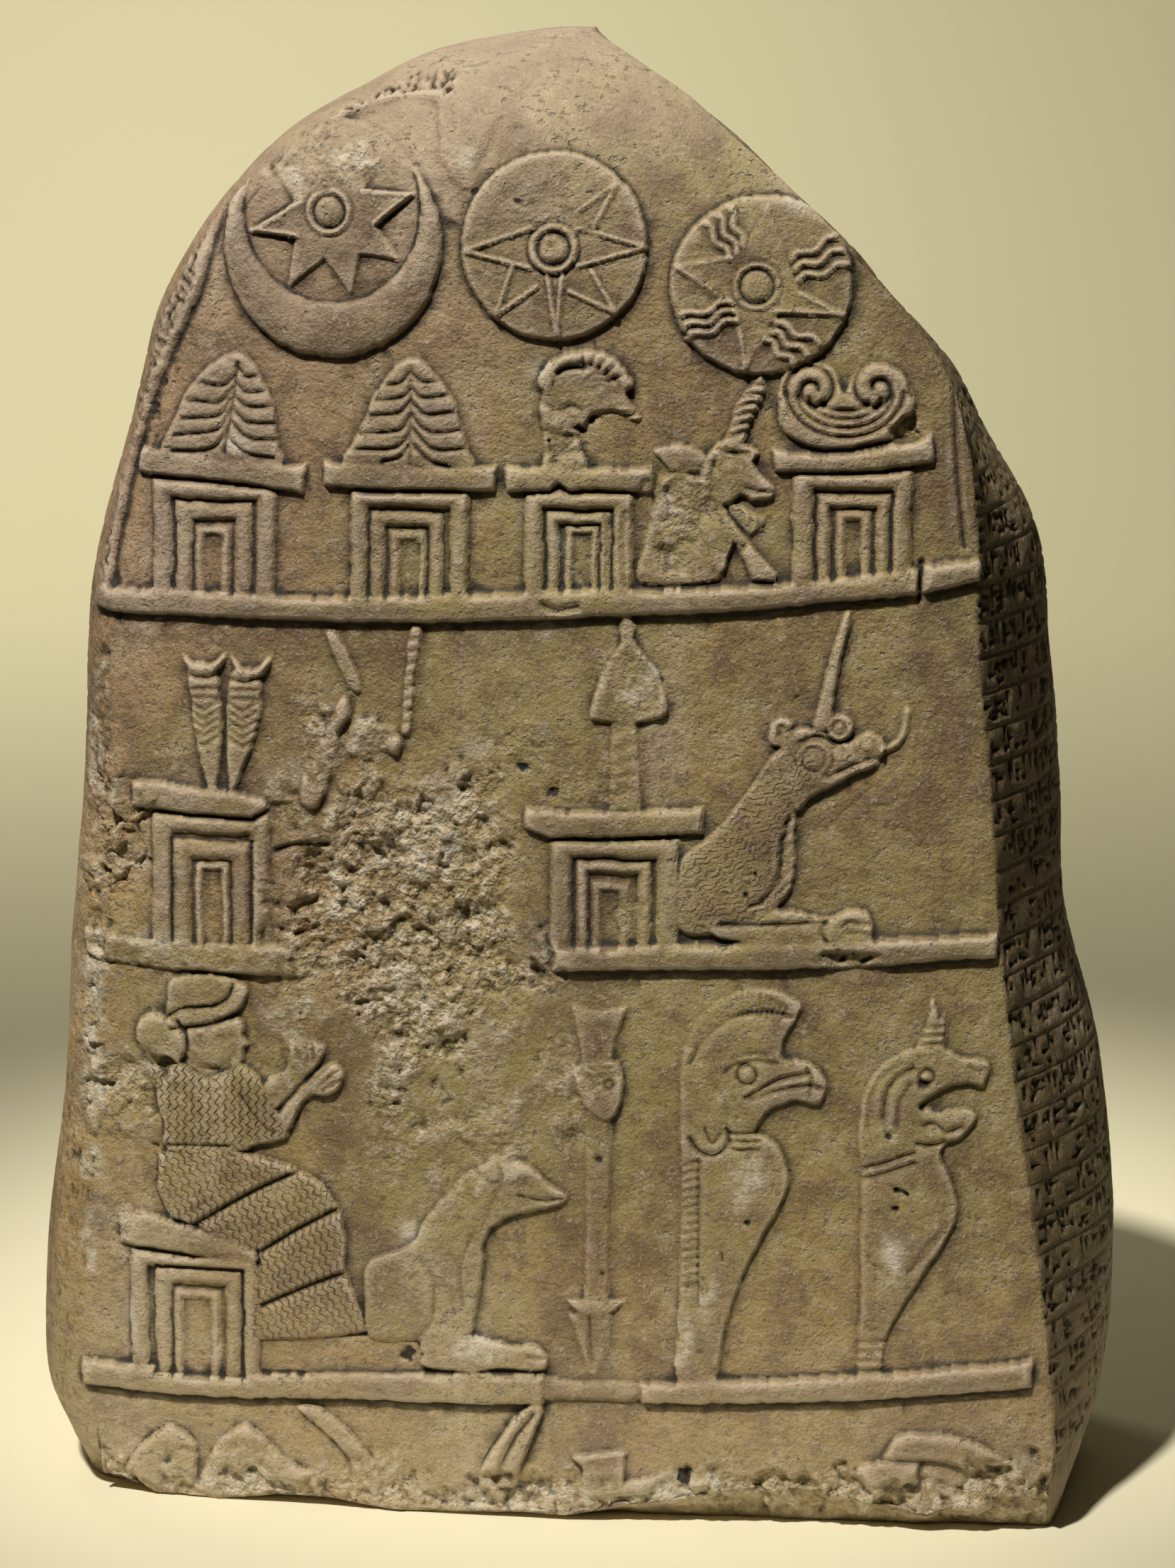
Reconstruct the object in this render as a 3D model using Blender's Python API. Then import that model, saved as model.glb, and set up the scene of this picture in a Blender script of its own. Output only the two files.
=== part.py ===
"""A kudurru: a carved limestone boundary stone, made as one solid with its relief figures.

Run with: blender --background --python part.py
Metres, +Z up. The carved face looks towards -Y, and the stone stands on its underside at z = 0.
"""

import math

import bmesh
import bpy
from mathutils import Matrix, Vector

# Main sizes of the stone, in metres.
STONE_HEIGHT = 0.404
STONE_WIDTH = 0.304
STONE_DEPTH = 0.150
FRONT_LEAN = math.radians(3.0)
FRONT_BULGE = 0.006

# How far each kind of carving stands out from the ground of the face, in metres.
DISC_RISE = 0.0032
CRESCENT_RISE = 0.0045
RAY_STEP = 0.0008
BAND_RISE = 0.0036
SLAB_RISE = 0.0042
FRAME_RISE = 0.0030
FRAME_STEP = 0.0007
CROWN_RISE = 0.0019
FIGURE_RISE = 0.0028
DETAIL_STEP = 0.0006
ROOT_DEPTH = 0.012

# The drawing sheet. Outlines below are drawn on a sheet that is laid over the carved face: u runs
# to the right, v upwards, and one unit is a millimetre while the stone has the sizes above. They
# are shares of the stone's height and width, so they grow and shrink with it.
SHEET_BOTTOM = -8.0
SHEET_TOP = 396.0
SHEET_LEFT = -162.0
SHEET_RIGHT = 142.0
SHEET_DEPTH = 150.0
ACROSS = STONE_WIDTH / (SHEET_RIGHT - SHEET_LEFT)
UPWARD = STONE_HEIGHT / (SHEET_TOP - SHEET_BOTTOM)
INWARD = STONE_DEPTH / SHEET_DEPTH

# The stone's levels: v, left side, left corner, right arris, right side, front set back, back.
# The last two are depths behind the leaning front plane.
LEVELS = [
    (18, -161.0, -139.0, 128.5, 140.0, 0.0, 146.0),
    (40, -162.0, -139.0, 126.5, 142.0, 0.0, 150.0),
    (70, -159.5, -138.0, 122.5, 142.0, 0.0, 150.0),
    (110, -155.0, -134.0, 117.0, 137.0, 0.0, 150.0),
    (150, -152.5, -132.0, 112.0, 127.0, 0.0, 149.0),
    (190, -149.0, -130.0, 108.5, 123.5, 0.0, 147.0),
    (235, -147.0, -128.0, 104.0, 120.0, 0.0, 143.0),
    (262, -142.0, -123.5, 103.0, 115.0, 0.0, 139.0),
    (285, -136.0, -117.0, 101.0, 101.5, 0.0, 135.0),
    (305, -130.5, -111.5, 95.5, 91.0, 0.0, 131.0),
    (322, -125.5, -106.5, 84.0, 75.5, 0.0, 127.0),
    (338, -116.5, -99.5, 69.0, 62.0, 0.0, 122.0),
    (354, -104.5, -89.0, 53.0, 44.0, 0.5, 115.0),
    (368, -90.0, -75.0, 37.0, 29.5, 4.5, 106.0),
    (380, -71.0, -58.0, 21.0, 13.5, 13.0, 97.0),
    (389, -52.5, -42.0, 5.0, 0.0, 26.0, 88.0),
    (394, -30.0, -25.0, -5.5, -6.5, 42.0, 78.0),
    (396, -17.0, -16.0, -9.0, -8.0, 54.0, 68.0),
]
FOOT_LEVEL = (-8, -151.5, -133.0, 127.0, 132.0, 10.0, 136.0)
FOOT_EDGE_LEVEL = (4, -154.0, -136.5, 127.5, 136.0, 0.0, 141.0)
FOOT_EDGE = [-3.0, -7.5, -5.0, -6.5, -5.8, -2.0, 3.2, -2.4, 6.0]
FRONT_POINTS = len(FOOT_EDGE)
SIDE_REACH = 0.42
CORNER_REACH = 0.33
BACK_SQUARENESS = 0.72

STONE_COLOUR = (0.42, 0.35, 0.21, 1.0)


def sheet_x(u):
    return u * ACROSS


def sheet_z(v):
    return (v - SHEET_BOTTOM) * UPWARD


def between(rows, v):
    """The row of LEVELS at height v, in proportion between its two neighbours."""
    if v <= rows[0][0]:
        return rows[0]
    for low, high in zip(rows, rows[1:]):
        if v <= high[0]:
            share = (v - low[0]) / (high[0] - low[0])
            return tuple(a + (b - a) * share for a, b in zip(low, high))
    return rows[-1]


def face_y(u, v):
    """World y of the carved face's ground: the leaning plane, a slight bulge and the crown's curve."""
    _, _, corner, arris, _, set_back, _ = between(LEVELS, v)
    middle = (corner + arris) / 2
    share = 2 * (u - middle) / (arris - corner)
    plane = math.tan(FRONT_LEAN) * sheet_z(v)
    return plane + set_back * INWARD + FRONT_BULGE * min(share * share, 1.5)


def ring(row, front_heights=None):
    """Points of one level of the stone, from its left corner round by the right side and the back."""
    v, left, corner, arris, right, set_back, back = row
    heights = front_heights or [v] * FRONT_POINTS
    base = math.tan(FRONT_LEAN) * sheet_z(v)
    edge = base + set_back * INWARD + FRONT_BULGE
    rear = base + back * INWARD
    points = []
    for index, height in enumerate(heights):
        share = index / (FRONT_POINTS - 1)
        u = corner + (arris - corner) * share
        lean = math.tan(FRONT_LEAN) * sheet_z(height)
        bulge = FRONT_BULGE * (2 * share - 1) ** 2
        points.append((sheet_x(u), lean + set_back * INWARD + bulge, sheet_z(height)))
    reach = (rear - edge) * SIDE_REACH
    for step in (1, 2, 3):
        share = step / 3
        u = arris + (right - arris) * math.sin(share * math.pi / 2)
        points.append((sheet_x(u), edge + reach * share, sheet_z(v)))
    middle = (left + right) / 2
    corner_reach = (rear - edge) * CORNER_REACH
    for step in range(1, 9):
        angle = step * math.pi / 8
        swing = abs(math.cos(angle)) ** BACK_SQUARENESS * math.copysign(1, math.cos(angle))
        start = edge + (reach if step < 4 else corner_reach)
        depth = start + (rear - start) * math.sin(angle) ** BACK_SQUARENESS
        u = middle + (right - middle) * swing
        points.append((sheet_x(u), depth, sheet_z(v)))
    for step in (3, 2, 1):
        angle = step * math.pi / 8
        u = corner - (corner - left) * math.sin(angle)
        depth = edge + corner_reach * (1 - math.cos(angle))
        points.append((sheet_x(u), depth, sheet_z(v)))
    return points


def loft(name, rings):
    """A closed mesh through rings that have the same number of points, capped at both ends."""
    mesh = bpy.data.meshes.new(name)
    bm = bmesh.new()
    rows = [[bm.verts.new(point) for point in points] for points in rings]
    for low, high in zip(rows, rows[1:]):
        for index in range(len(low)):
            after = (index + 1) % len(low)
            bm.faces.new((low[index], low[after], high[after], high[index]))
    bm.faces.new(rows[0])
    bm.faces.new(rows[-1])
    bmesh.ops.recalc_face_normals(bm, faces=bm.faces)
    bm.to_mesh(mesh)
    bm.free()
    return bpy.data.objects.new(name, mesh)


def face_frame(u, v):
    """Matrix whose X runs along the face, Y up it and Z straight out of it, at one point."""
    step = 2.0
    along = Vector((sheet_x(2 * step), face_y(u + step, v) - face_y(u - step, v), 0))
    rise = sheet_z(v + step) - sheet_z(v - step)
    upward = Vector((0, face_y(u, v + step) - face_y(u, v - step), rise))
    outward = along.cross(upward).normalized()
    along.normalize()
    upward = outward.cross(along)
    place = Vector((sheet_x(u), face_y(u, v), sheet_z(v)))
    frame = Matrix((along, upward, outward)).transposed().to_4x4()
    return Matrix.Translation(place) @ frame


def plate(name, outline, rise, smooth=2, frame=None):
    """A raised figure: a flat outline on the face, from its root in the stone up to its rise.

    With smooth above 0 the outline is a curve through its points, cut in that many steps a point.
    """
    middle_u = (min(p[0] for p in outline) + max(p[0] for p in outline)) / 2
    middle_v = (min(p[1] for p in outline) + max(p[1] for p in outline)) / 2
    curve = bpy.data.curves.new(name, "CURVE")
    curve.dimensions = "2D"
    curve.fill_mode = "BOTH"
    curve.extrude = (rise + ROOT_DEPTH) / 2
    curve.resolution_u = max(smooth, 1)
    spline = curve.splines.new("BEZIER")
    spline.bezier_points.add(len(outline) - 1)
    for point, (u, v) in zip(spline.bezier_points, outline):
        point.co = (sheet_x(u - middle_u), (v - middle_v) * UPWARD, 0)
        kind = "AUTO" if smooth > 1 else "VECTOR"
        point.handle_left_type = kind
        point.handle_right_type = kind
    spline.use_cyclic_u = True
    drawn = bpy.data.objects.new(name + "_outline", curve)
    carving.objects.link(drawn)
    lift = Matrix.Translation((0, 0, (rise - ROOT_DEPTH) / 2))
    drawn.matrix_world = (frame or face_frame(middle_u, middle_v)) @ lift
    bpy.context.view_layer.update()
    evaluated = drawn.evaluated_get(bpy.context.evaluated_depsgraph_get())
    mesh = bpy.data.meshes.new_from_object(evaluated)
    bm = bmesh.new()
    bm.from_mesh(mesh)
    bmesh.ops.remove_doubles(bm, verts=bm.verts, dist=0.00001)
    bmesh.ops.recalc_face_normals(bm, faces=bm.faces)
    bm.to_mesh(mesh)
    bm.free()
    solid = bpy.data.objects.new(name, mesh)
    solid.matrix_world = drawn.matrix_world.copy()
    bpy.data.objects.remove(drawn)
    carving.objects.link(solid)
    solid.hide_render = True
    solid.display_type = "WIRE"
    return solid


def cut_plate(name, outline, rise):
    """A raised figure with straight edges."""
    return plate(name, outline, rise, smooth=1)


def circle(u, v, radius, count, turn=0.0):
    return [
        (u + radius * math.cos(turn + math.tau * k / count), v + radius * math.sin(turn + math.tau * k / count))
        for k in range(count)
    ]


def box(left, bottom, right, top):
    return [(left, bottom), (right, bottom), (right, top), (left, top)]


def bar(name, stations, rise):
    """A raised bar along the face. A station is u, its lower edge and its upper edge."""
    rings = []
    chamfer = rise / 3
    for u, low, high in stations:
        sections = []
        lower_slope = Vector((0, -1, -0.05))
        for v, out in ((low, -ROOT_DEPTH), (low, rise - chamfer), (low + 0.9, rise),
                       (high - 0.9, rise), (high, rise - chamfer), (high, -ROOT_DEPTH)):
            ground = Vector((sheet_x(u), face_y(u, v), sheet_z(v)))
            sections.append(ground + lower_slope * out)
        rings.append([tuple(point) for point in sections])
    solid = loft(name, rings)
    carving.objects.link(solid)
    solid.hide_render = True
    solid.display_type = "WIRE"
    return solid


def nested_frames(name, frames, rise):
    """A niche of frames within frames, each deeper than the one round it, open at the bottom.

    A frame is its left edge, right edge, top and bottom, and the last one is the niche's floor.
    """
    overlap = 1.0
    for index, (left, right, top, bottom) in enumerate(frames):
        level = rise - index * FRAME_STEP
        grow = overlap if index else 0.0
        if index == len(frames) - 1:
            cut_plate(f"{name}_niche", box(left - grow, bottom, right + grow, top + grow), level)
            continue
        inner_left, inner_right, inner_top, _ = frames[index + 1]
        foot = bottom - 0.1 * index
        cut_plate(f"{name}_frame_{index}", [
            (left - grow, foot), (inner_left, foot), (inner_left, inner_top), (inner_right, inner_top),
            (inner_right, foot), (right + grow, foot), (right + grow, top + grow), (left - grow, top + grow),
        ], level)


def ray(name, centre, tip_angle, reach, half_base, start, rise):
    """One pointed ray of a star, from near its boss out to its tip."""
    u, v = centre
    along = (math.cos(tip_angle), math.sin(tip_angle))
    beside = (-along[1], along[0])
    points = [(start, half_base), (start, -half_base), (reach, 0.0)]
    cut_plate(name, [
        (u + along[0] * a + beside[0] * b, v + along[1] * a + beside[1] * b) for a, b in points
    ], rise)


def wavy_strip(name, centre, angle, offset, rise):
    """One wavy flame between a sun's rays: a strip whose middle line is a sine wave."""
    u, v = centre
    along = (math.cos(angle), math.sin(angle))
    beside = (-along[1], along[0])
    start, length, steps, half_width, swing = 9.0, 13.0, 4, 0.8, 0.7
    near, far = [], []
    for step in range(steps + 1):
        a = start + length * step / steps
        b = offset + swing * math.sin(math.tau * 1.5 * step / steps)
        near.append((u + along[0] * a + beside[0] * (b - half_width), v + along[1] * a + beside[1] * (b - half_width)))
        far.append((u + along[0] * a + beside[0] * (b + half_width), v + along[1] * a + beside[1] * (b + half_width)))
    cut_plate(name, near + far[::-1], rise)


def ring_boss(name, u, v, rise):
    """The round boss in the middle of a star, with a ring round it."""
    plate(name + "_ring", circle(u, v, 6.3, 7), rise, smooth=2)
    plate(name + "_boss", circle(u, v, 3.5, 6), rise + RAY_STEP, smooth=2)


def make_star_disc():
    centre, radius = (-10.0, 340.0), 24.6
    plate("star_disc", circle(*centre, radius, 12), DISC_RISE, smooth=2)
    for index in range(8):
        angle = math.radians(2 + 45 * index)
        ray(f"star_ray_{index}", centre, angle, radius - 0.6, 4.4, 5.0, DISC_RISE + RAY_STEP * (0.9 + 0.02 * index))
    ring_boss("star", *centre, DISC_RISE + 1.4 * RAY_STEP)


def make_sun_disc():
    centre, radius = (44.8, 330.3), 23.7
    plate("sun_disc", circle(*centre, radius, 12), DISC_RISE - 0.0001, smooth=2)
    for index, degrees in enumerate((-18, 84, 168, 258)):
        ray(f"sun_ray_{index}", centre, math.radians(degrees), radius - 0.8, 5.0, 5.2, DISC_RISE + 0.8 * RAY_STEP)
    for bundle, degrees in enumerate((34, 128, 205, 305)):
        for line in (-1, 0, 1):
            wavy_strip(f"sun_flame_{bundle}_{line + 1}", centre, math.radians(degrees), 2.6 * line,
                       DISC_RISE + RAY_STEP * (0.6 + 0.05 * line))
    ring_boss("sun", *centre, DISC_RISE + 1.3 * RAY_STEP)


def make_crescent():
    """The crescent: a round disc's rim, thick below, round the smaller disc that holds a star."""
    outer_centre, outer_radius = (-70.3, 340.0), 30.1
    inner_centre, inner_radius = (-70.5, 349.0), 24.5
    worn_tip = 356.5
    outer_turn = math.asin((worn_tip - outer_centre[1]) / outer_radius)
    inner_turn = math.asin((worn_tip - inner_centre[1]) / inner_radius)
    outline = []
    for step in range(13):
        angle = -math.pi - outer_turn + (math.pi + 2 * outer_turn) * step / 12
        outline.append((outer_centre[0] + outer_radius * math.cos(angle), outer_centre[1] + outer_radius * math.sin(angle)))
    for step in range(12):
        angle = inner_turn - (math.pi + 2 * inner_turn) * step / 11
        outline.append((inner_centre[0] + inner_radius * math.cos(angle), inner_centre[1] + inner_radius * math.sin(angle)))
    cut_plate("crescent", outline, CRESCENT_RISE)
    cut_plate("crescent_crest", [
        (inner_centre[0] + (radius + shift) * math.cos(a), outer_centre[1] + 1.5 + (radius - 1) * math.sin(a))
        for radius, shift, angles in ((27.6, 0, range(200, 345, 20)), (26.0, 0, range(340, 195, -20)))
        for a in (math.radians(d) for d in angles)
    ], CRESCENT_RISE + 0.0007)
    star = (-70.3, 347.6)
    plate("crescent_star_disc", circle(*inner_centre, inner_radius - 4.5, 7), DISC_RISE * 0.35, smooth=2)
    for index, (degrees, reach) in enumerate(((14, 22.5), (-38, 22.0), (-77, 21.0), (-122, 21.5), (190, 22.5), (143, 19), (48, 19))):
        ray(f"crescent_ray_{index}", star, math.radians(degrees), reach, 4.2, 4.5,
            DISC_RISE * 0.62 + 0.00006 * index)
    ring_boss("crescent_star", *star, DISC_RISE * 0.62 + RAY_STEP)


def make_scale_crown(name, left, right, foot, top, axis_foot, axis_top):
    """The horned crown on an altar: a tall cap of scales that hang in rows on both sides."""
    width = right - left
    height = top - foot
    plate(name, [
        (left, foot - 0.5), (left + 0.03 * width, foot + 0.3 * height), (left + 0.16 * width, foot + 0.62 * height),
        (left + 0.36 * width, foot + 0.88 * height), (left + 0.58 * width, top),
        (left + 0.78 * width, foot + 0.88 * height), (right - 0.07 * width, foot + 0.62 * height),
        (right, foot + 0.3 * height), (right - 0.03 * width, foot - 0.5),
    ], CROWN_RISE, smooth=2)
    rows = 6
    for row in range(rows):
        share = row / rows
        low = foot + 1.0 + (height - 4.5) * share
        spread = math.sqrt(max(0.0, 1 - (share * 0.92) ** 2.2))
        axis = axis_foot + (axis_top - axis_foot) * share
        for side, edge in ((-1, left), (1, right)):
            reach = (edge - axis) * spread * 0.93
            if abs(reach) < 3:
                continue
            plate(f"{name}_scale_{row}_{side + 1}", [
                (axis + reach * 0.06, low + 4.9), (axis + reach * 0.45, low + 0.6), (axis + reach * 0.97, low + 0.6),
                (axis + reach * 0.9, low + 3.4),
            ], CROWN_RISE + 0.0009 + 0.00004 * row, smooth=1)


def make_altars():
    """Six altars: a slab over a niche of nested frames, two of them under horned crowns."""
    cut_plate("altar_1_slab", [(-125, 278), (-101, 276.2), (-78.2, 273.6), (-77.4, 281.3), (-100, 281.9),
                               (-117, 284.2), (-124.2, 285)], SLAB_RISE)
    nested_frames("altar_1", [(-120.4, -85.6, 277.5, 246), (-114.4, -92, 270.8, 246), (-109.1, -97.9, 264.4, 246),
                              (-105.6, -101.4, 260.3, 246)], FRAME_RISE)
    make_scale_crown("altar_1_crown", -116.2, -85.2, 283.0, 311.0, -100.2, -96.0)
    cut_plate("altar_2_slab", [(-72.4, 275.8), (-60, 274.9), (-25.4, 275.2), (-25.2, 281.9), (-45, 281.2),
                               (-72.2, 282.2)], SLAB_RISE + 0.0001)
    nested_frames("altar_2", [(-65.3, -32.3, 275.6, 247), (-60, -39, 269.2, 247), (-55, -43.6, 264.7, 247),
                              (-51, -46, 260.4, 247)], FRAME_RISE + 0.0001)
    make_scale_crown("altar_2_crown", -64.3, -33.4, 281.6, 310.0, -48.4, -48.0)
    cut_plate("altar_3_slab", [(-22.6, 275), (-11, 275.4), (-8.2, 277.4), (-5.2, 275.5), (2, 276.2), (16.9, 275.6),
                               (16.9, 282.7), (0, 281.8), (-22.8, 281.9)], SLAB_RISE + 0.0002)
    nested_frames("altar_3", [(-17.8, 11.9, 276.4, 249.5), (-12, 6.4, 270.4, 249.5), (-7, 3, 266.6, 249.5),
                              (-3.9, -1.9, 263.6, 249.5)], FRAME_RISE + 0.0002)
    cut_plate("altar_4_slab", [(49, 281.3), (63.2, 281.3), (77.6, 282), (91.2, 284.3), (90.2, 291.6), (82.4, 289.4),
                               (70, 287), (60.3, 286.3), (48.3, 287.6)], SLAB_RISE)
    nested_frames("altar_4", [(53.8, 85.6, 282.6, 253), (59.8, 80.3, 275.9, 253), (65.1, 75.2, 271.5, 253),
                              (68.5, 72, 267, 253)], FRAME_RISE)
    cut_plate("altar_5_slab", [(-127, 186.4), (-111.5, 185.4), (-88, 184.6), (-84, 188), (-88, 191), (-100.7, 192.2),
                               (-111.5, 192.8), (-119.7, 194.3), (-126.7, 193.7)], SLAB_RISE - 0.0004)
    nested_frames("altar_5", [(-121.4, -87.2, 186, 148), (-115.7, -92.5, 177.9, 148), (-109.3, -98.5, 172.2, 148),
                              (-105.5, -102, 169.9, 148)], FRAME_RISE - 0.0003)
    cut_plate("altar_6_slab", [(-17.2, 184.7), (-9.8, 182.2), (8.6, 182.7), (20, 183.7), (31.4, 184.5), (31, 191.5),
                               (18.8, 190.8), (8.6, 189.9), (-5, 189.9), (-17.2, 190.8)], SLAB_RISE - 0.0005)
    nested_frames("altar_6", [(-10.4, 25.2, 183.4, 152), (-3.3, 17.8, 176.6, 152), (0.3, 12.5, 171.4, 152),
                              (4.9, 8.8, 167.3, 152)], FRAME_RISE - 0.0006)


def spiral_arm(name, u, v, radius, turn, rise):
    """A coiled end of the double spiral: a disc with a round hollow and a boss inside it."""
    plate(name, circle(u, v, radius, 10, turn), rise, smooth=2)
    plate(name + "_curl", circle(u, v, radius * 0.62, 8), rise + 0.0006, smooth=2)
    plate(name + "_eye", circle(u, v, radius * 0.3, 5), rise + 0.0011, smooth=2)


def arc_strip(name, centre, half_widths, heights, rise):
    """A U-shaped band: the strip between two half ellipses that hang from the same line."""
    u, v = centre
    points = []
    for half, drop, angles in ((half_widths[0], heights[0], range(180, 361, 20)),
                               (half_widths[1], heights[1], range(360, 179, -20))):
        points += [(u + half * math.cos(math.radians(a)), v + drop * math.sin(math.radians(a))) for a in angles]
    cut_plate(name, points, rise)


def make_double_spiral():
    for index, (half, drop) in enumerate(((17.6, 14.6), (15.0, 11.6), (12.4, 8.6))):
        arc_strip(f"spiral_band_{index}", (67.4, 302.4), (half, half - 1.9), (drop, drop - 1.9),
                  FIGURE_RISE + 0.00015 * index)
    cut_plate("spiral_ground", [(51.5, 301), (53, 294), (60, 289), (68, 288.5), (77, 290), (83, 296), (84, 301),
                                (75, 296.5), (68, 297.5), (60, 296.5)], CROWN_RISE)
    spiral_arm("spiral_left", 58.0, 302.6, 7.3, 0.2, FIGURE_RISE)
    spiral_arm("spiral_right", 75.8, 302.2, 8.6, 0.1, FIGURE_RISE + 0.0001)


def make_ram_head():
    plate("ram_head", [(-10.8, 281), (-13.3, 286), (-13.5, 291.5), (-14, 297), (-13, 301), (-14, 305.5), (-12.4, 309),
                       (-8, 311.6), (-3, 312.8), (3, 312.8), (8, 310.8), (10.6, 306.5), (10, 302.5), (11.2, 299.2),
                       (13.4, 296.6), (12.4, 294.6), (6, 295.4), (2, 294.4), (1, 290.2), (-2.8, 287.8), (-1.4, 281.2)],
          FIGURE_RISE, smooth=2)
    plate("ram_horn", [(-9.2, 306.2), (-6, 309.4), (-0.5, 310.2), (5, 309), (8.4, 306), (9, 301.6), (7, 300.4),
                       (6.2, 303.6), (3.6, 306.2), (-1, 306), (-5, 304.6)], FIGURE_RISE + DETAIL_STEP, smooth=2)
    plate("ram_eye", circle(3.0, 301.8, 2.4, 6), FIGURE_RISE + DETAIL_STEP * 0.8, smooth=2)


def make_goat_fish():
    """The goat-fish beside the third altar, worn flat towards its tail."""
    plate("goat_body", [(14, 251.5), (33, 252.2), (35.5, 256), (33.6, 260), (38, 264), (36, 272), (31.5, 277),
                        (24, 281.2), (19, 278), (17, 271), (15, 262)], FIGURE_RISE - 0.0010, smooth=2)
    plate("goat_tail", [(16.8, 286.8), (21, 288.2), (27, 287.6), (30.4, 285), (29.6, 281.8), (22.4, 282), (18.6, 284.4)],
          FIGURE_RISE - 0.0002, smooth=2)
    plate("goat_head", [(31.8, 272.4), (30.6, 279), (32, 285.2), (35.6, 289.6), (40.6, 289.2), (45.2, 286.8),
                        (43.6, 284), (45.8, 280.4), (49, 277.6), (48.6, 274.8), (43.2, 273.8), (40.4, 275.2), (37.4, 273)],
          FIGURE_RISE, smooth=2)
    plate("goat_horn", [(35.4, 288.6), (38, 294), (38.6, 298), (41, 301.6), (43.6, 304.6), (45.6, 306.6), (46.2, 303),
                        (44.6, 298.6), (42.6, 295), (41.6, 290.6), (39.8, 287.6)], FIGURE_RISE + DETAIL_STEP, smooth=2)
    cut_plate("goat_beard", [(36.2, 273.6), (47.4, 268.8), (45, 266), (43, 264.6), (38.4, 269.2)], FIGURE_RISE - 0.0006)
    cut_plate("goat_far_leg", [(34.4, 272.4), (39.8, 266.2), (45, 260), (50, 254.8), (49.6, 252), (43.2, 252.6),
                               (41.8, 257.2), (38.8, 262), (33, 266)], FIGURE_RISE + 0.0003)
    cut_plate("goat_near_leg", [(38.6, 263), (37.2, 258.6), (36.2, 255.2), (34, 254.8), (32.4, 258), (31.4, 264),
                                (34.6, 267.4)], FIGURE_RISE + 0.0005)


def make_bands():
    """The three raised ground lines that carry the rows of figures."""
    bar("band_1_left", [(-134, 239.2, 246.4), (-100, 238.2, 246.2), (-60, 238.2, 246.3), (-30, 239.4, 248.2),
                        (0, 241.6, 249.6), (30, 242.6, 250.6), (60, 245.6, 252.8), (88, 248.6, 256.4)], BAND_RISE)
    bar("band_1_right", [(87.2, 248.8, 257.2), (103.5, 252.2, 259.6)], BAND_RISE + 0.0005)
    bar("band_2_left", [(-139, 143.4, 151.6), (-122, 141.2, 149.6), (-104, 141.0, 149.4), (-86, 140.4, 150),
                        (-72, 141.6, 147.6)], BAND_RISE - 0.0008)
    bar("band_2_right", [(-9, 145.2, 152.4), (20, 146.4, 154.0), (50, 147.2, 155.2), (80, 148.8, 157), (108.5, 151.4, 158.4)],
        BAND_RISE)
    bar("band_3_left", [(-139, 22.2, 30.2), (-100, 21.2, 29.6), (-72, 22.8, 30.6), (-40, 23.4, 32.6), (-10, 24.6, 33.6)],
        BAND_RISE)
    bar("band_3_right", [(16, 25.6, 32.6), (45, 27, 34.6), (80, 29.2, 37.4), (121, 32.8, 41.8)], BAND_RISE)
    bar("band_3_middle", [(-11, 25, 33), (17, 26, 32.2)], BAND_RISE * 0.55)


def make_styluses():
    """Two wedges with crescent tops that stand on the fifth altar."""
    plate("stylus_cap_left", [(-112.2, 228.8), (-106.2, 226.6), (-99.8, 230), (-101, 226.2), (-104.6, 223.8),
                              (-109, 223.8)], FIGURE_RISE + 0.0004, smooth=2)
    plate("stylus_cap_right", [(-98.3, 228.8), (-93, 226.2), (-87.2, 229), (-88.8, 225.2), (-92.6, 222.8),
                               (-96.4, 223.8)], FIGURE_RISE + 0.0005, smooth=2)
    plate("stylus_left", [(-109.6, 225), (-103, 225), (-101.4, 217), (-101.2, 209), (-101.8, 200), (-102.8, 192),
                          (-104.8, 192), (-107, 202), (-109.4, 210), (-109.8, 217)], FIGURE_RISE - 0.0002, smooth=2)
    plate("stylus_right", [(-97.6, 224), (-91, 224), (-90, 217), (-91.2, 209), (-93.6, 201.6), (-98, 192),
                           (-99.4, 196), (-99.4, 206), (-99.2, 216)], FIGURE_RISE - 0.0001, smooth=2)


def make_broken_dragon():
    """What the damage has left of the horned dragon of the second row: its horns and some lumps."""
    cut_plate("broken_horn_right", [(-50.6, 209), (-49.6, 225), (-48.4, 235), (-47.6, 239), (-45.8, 239), (-46, 235),
                                    (-47.4, 225), (-48.6, 209)], FIGURE_RISE - 0.0006)
    cut_plate("broken_horn_left", [(-71.2, 235), (-69, 235.6), (-65, 229), (-62.2, 222), (-64.6, 220.6), (-68, 226.6)],
              FIGURE_RISE - 0.0012)
    plate("broken_neck", [(-77.6, 208), (-74, 211.6), (-70.4, 209), (-71.6, 203), (-74.2, 196), (-78, 190.6), (-79.4, 196),
                          (-77.4, 202)], FIGURE_RISE - 0.0014, smooth=2)
    plate("broken_head", [(-66, 208), (-62, 213), (-56, 211.6), (-51.6, 208.6), (-56, 204.6), (-61, 203.4), (-65, 202.6)],
          FIGURE_RISE - 0.0010, smooth=2)


def make_spade():
    """The spade that stands on the sixth altar."""
    plate("spade_head", [(-1.8, 214.4), (2, 222), (5.4, 230), (7.4, 236), (10, 243.6), (12.8, 241), (14.8, 234), (18, 228),
                         (20.4, 220), (20.2, 216.4), (14, 214), (6, 213.8)], FIGURE_RISE - 0.0004, smooth=2)
    cut_plate("spade_shaft", [(5.6, 189), (6.9, 215), (13.4, 215), (15.1, 189)], FIGURE_RISE - 0.0008)


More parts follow.
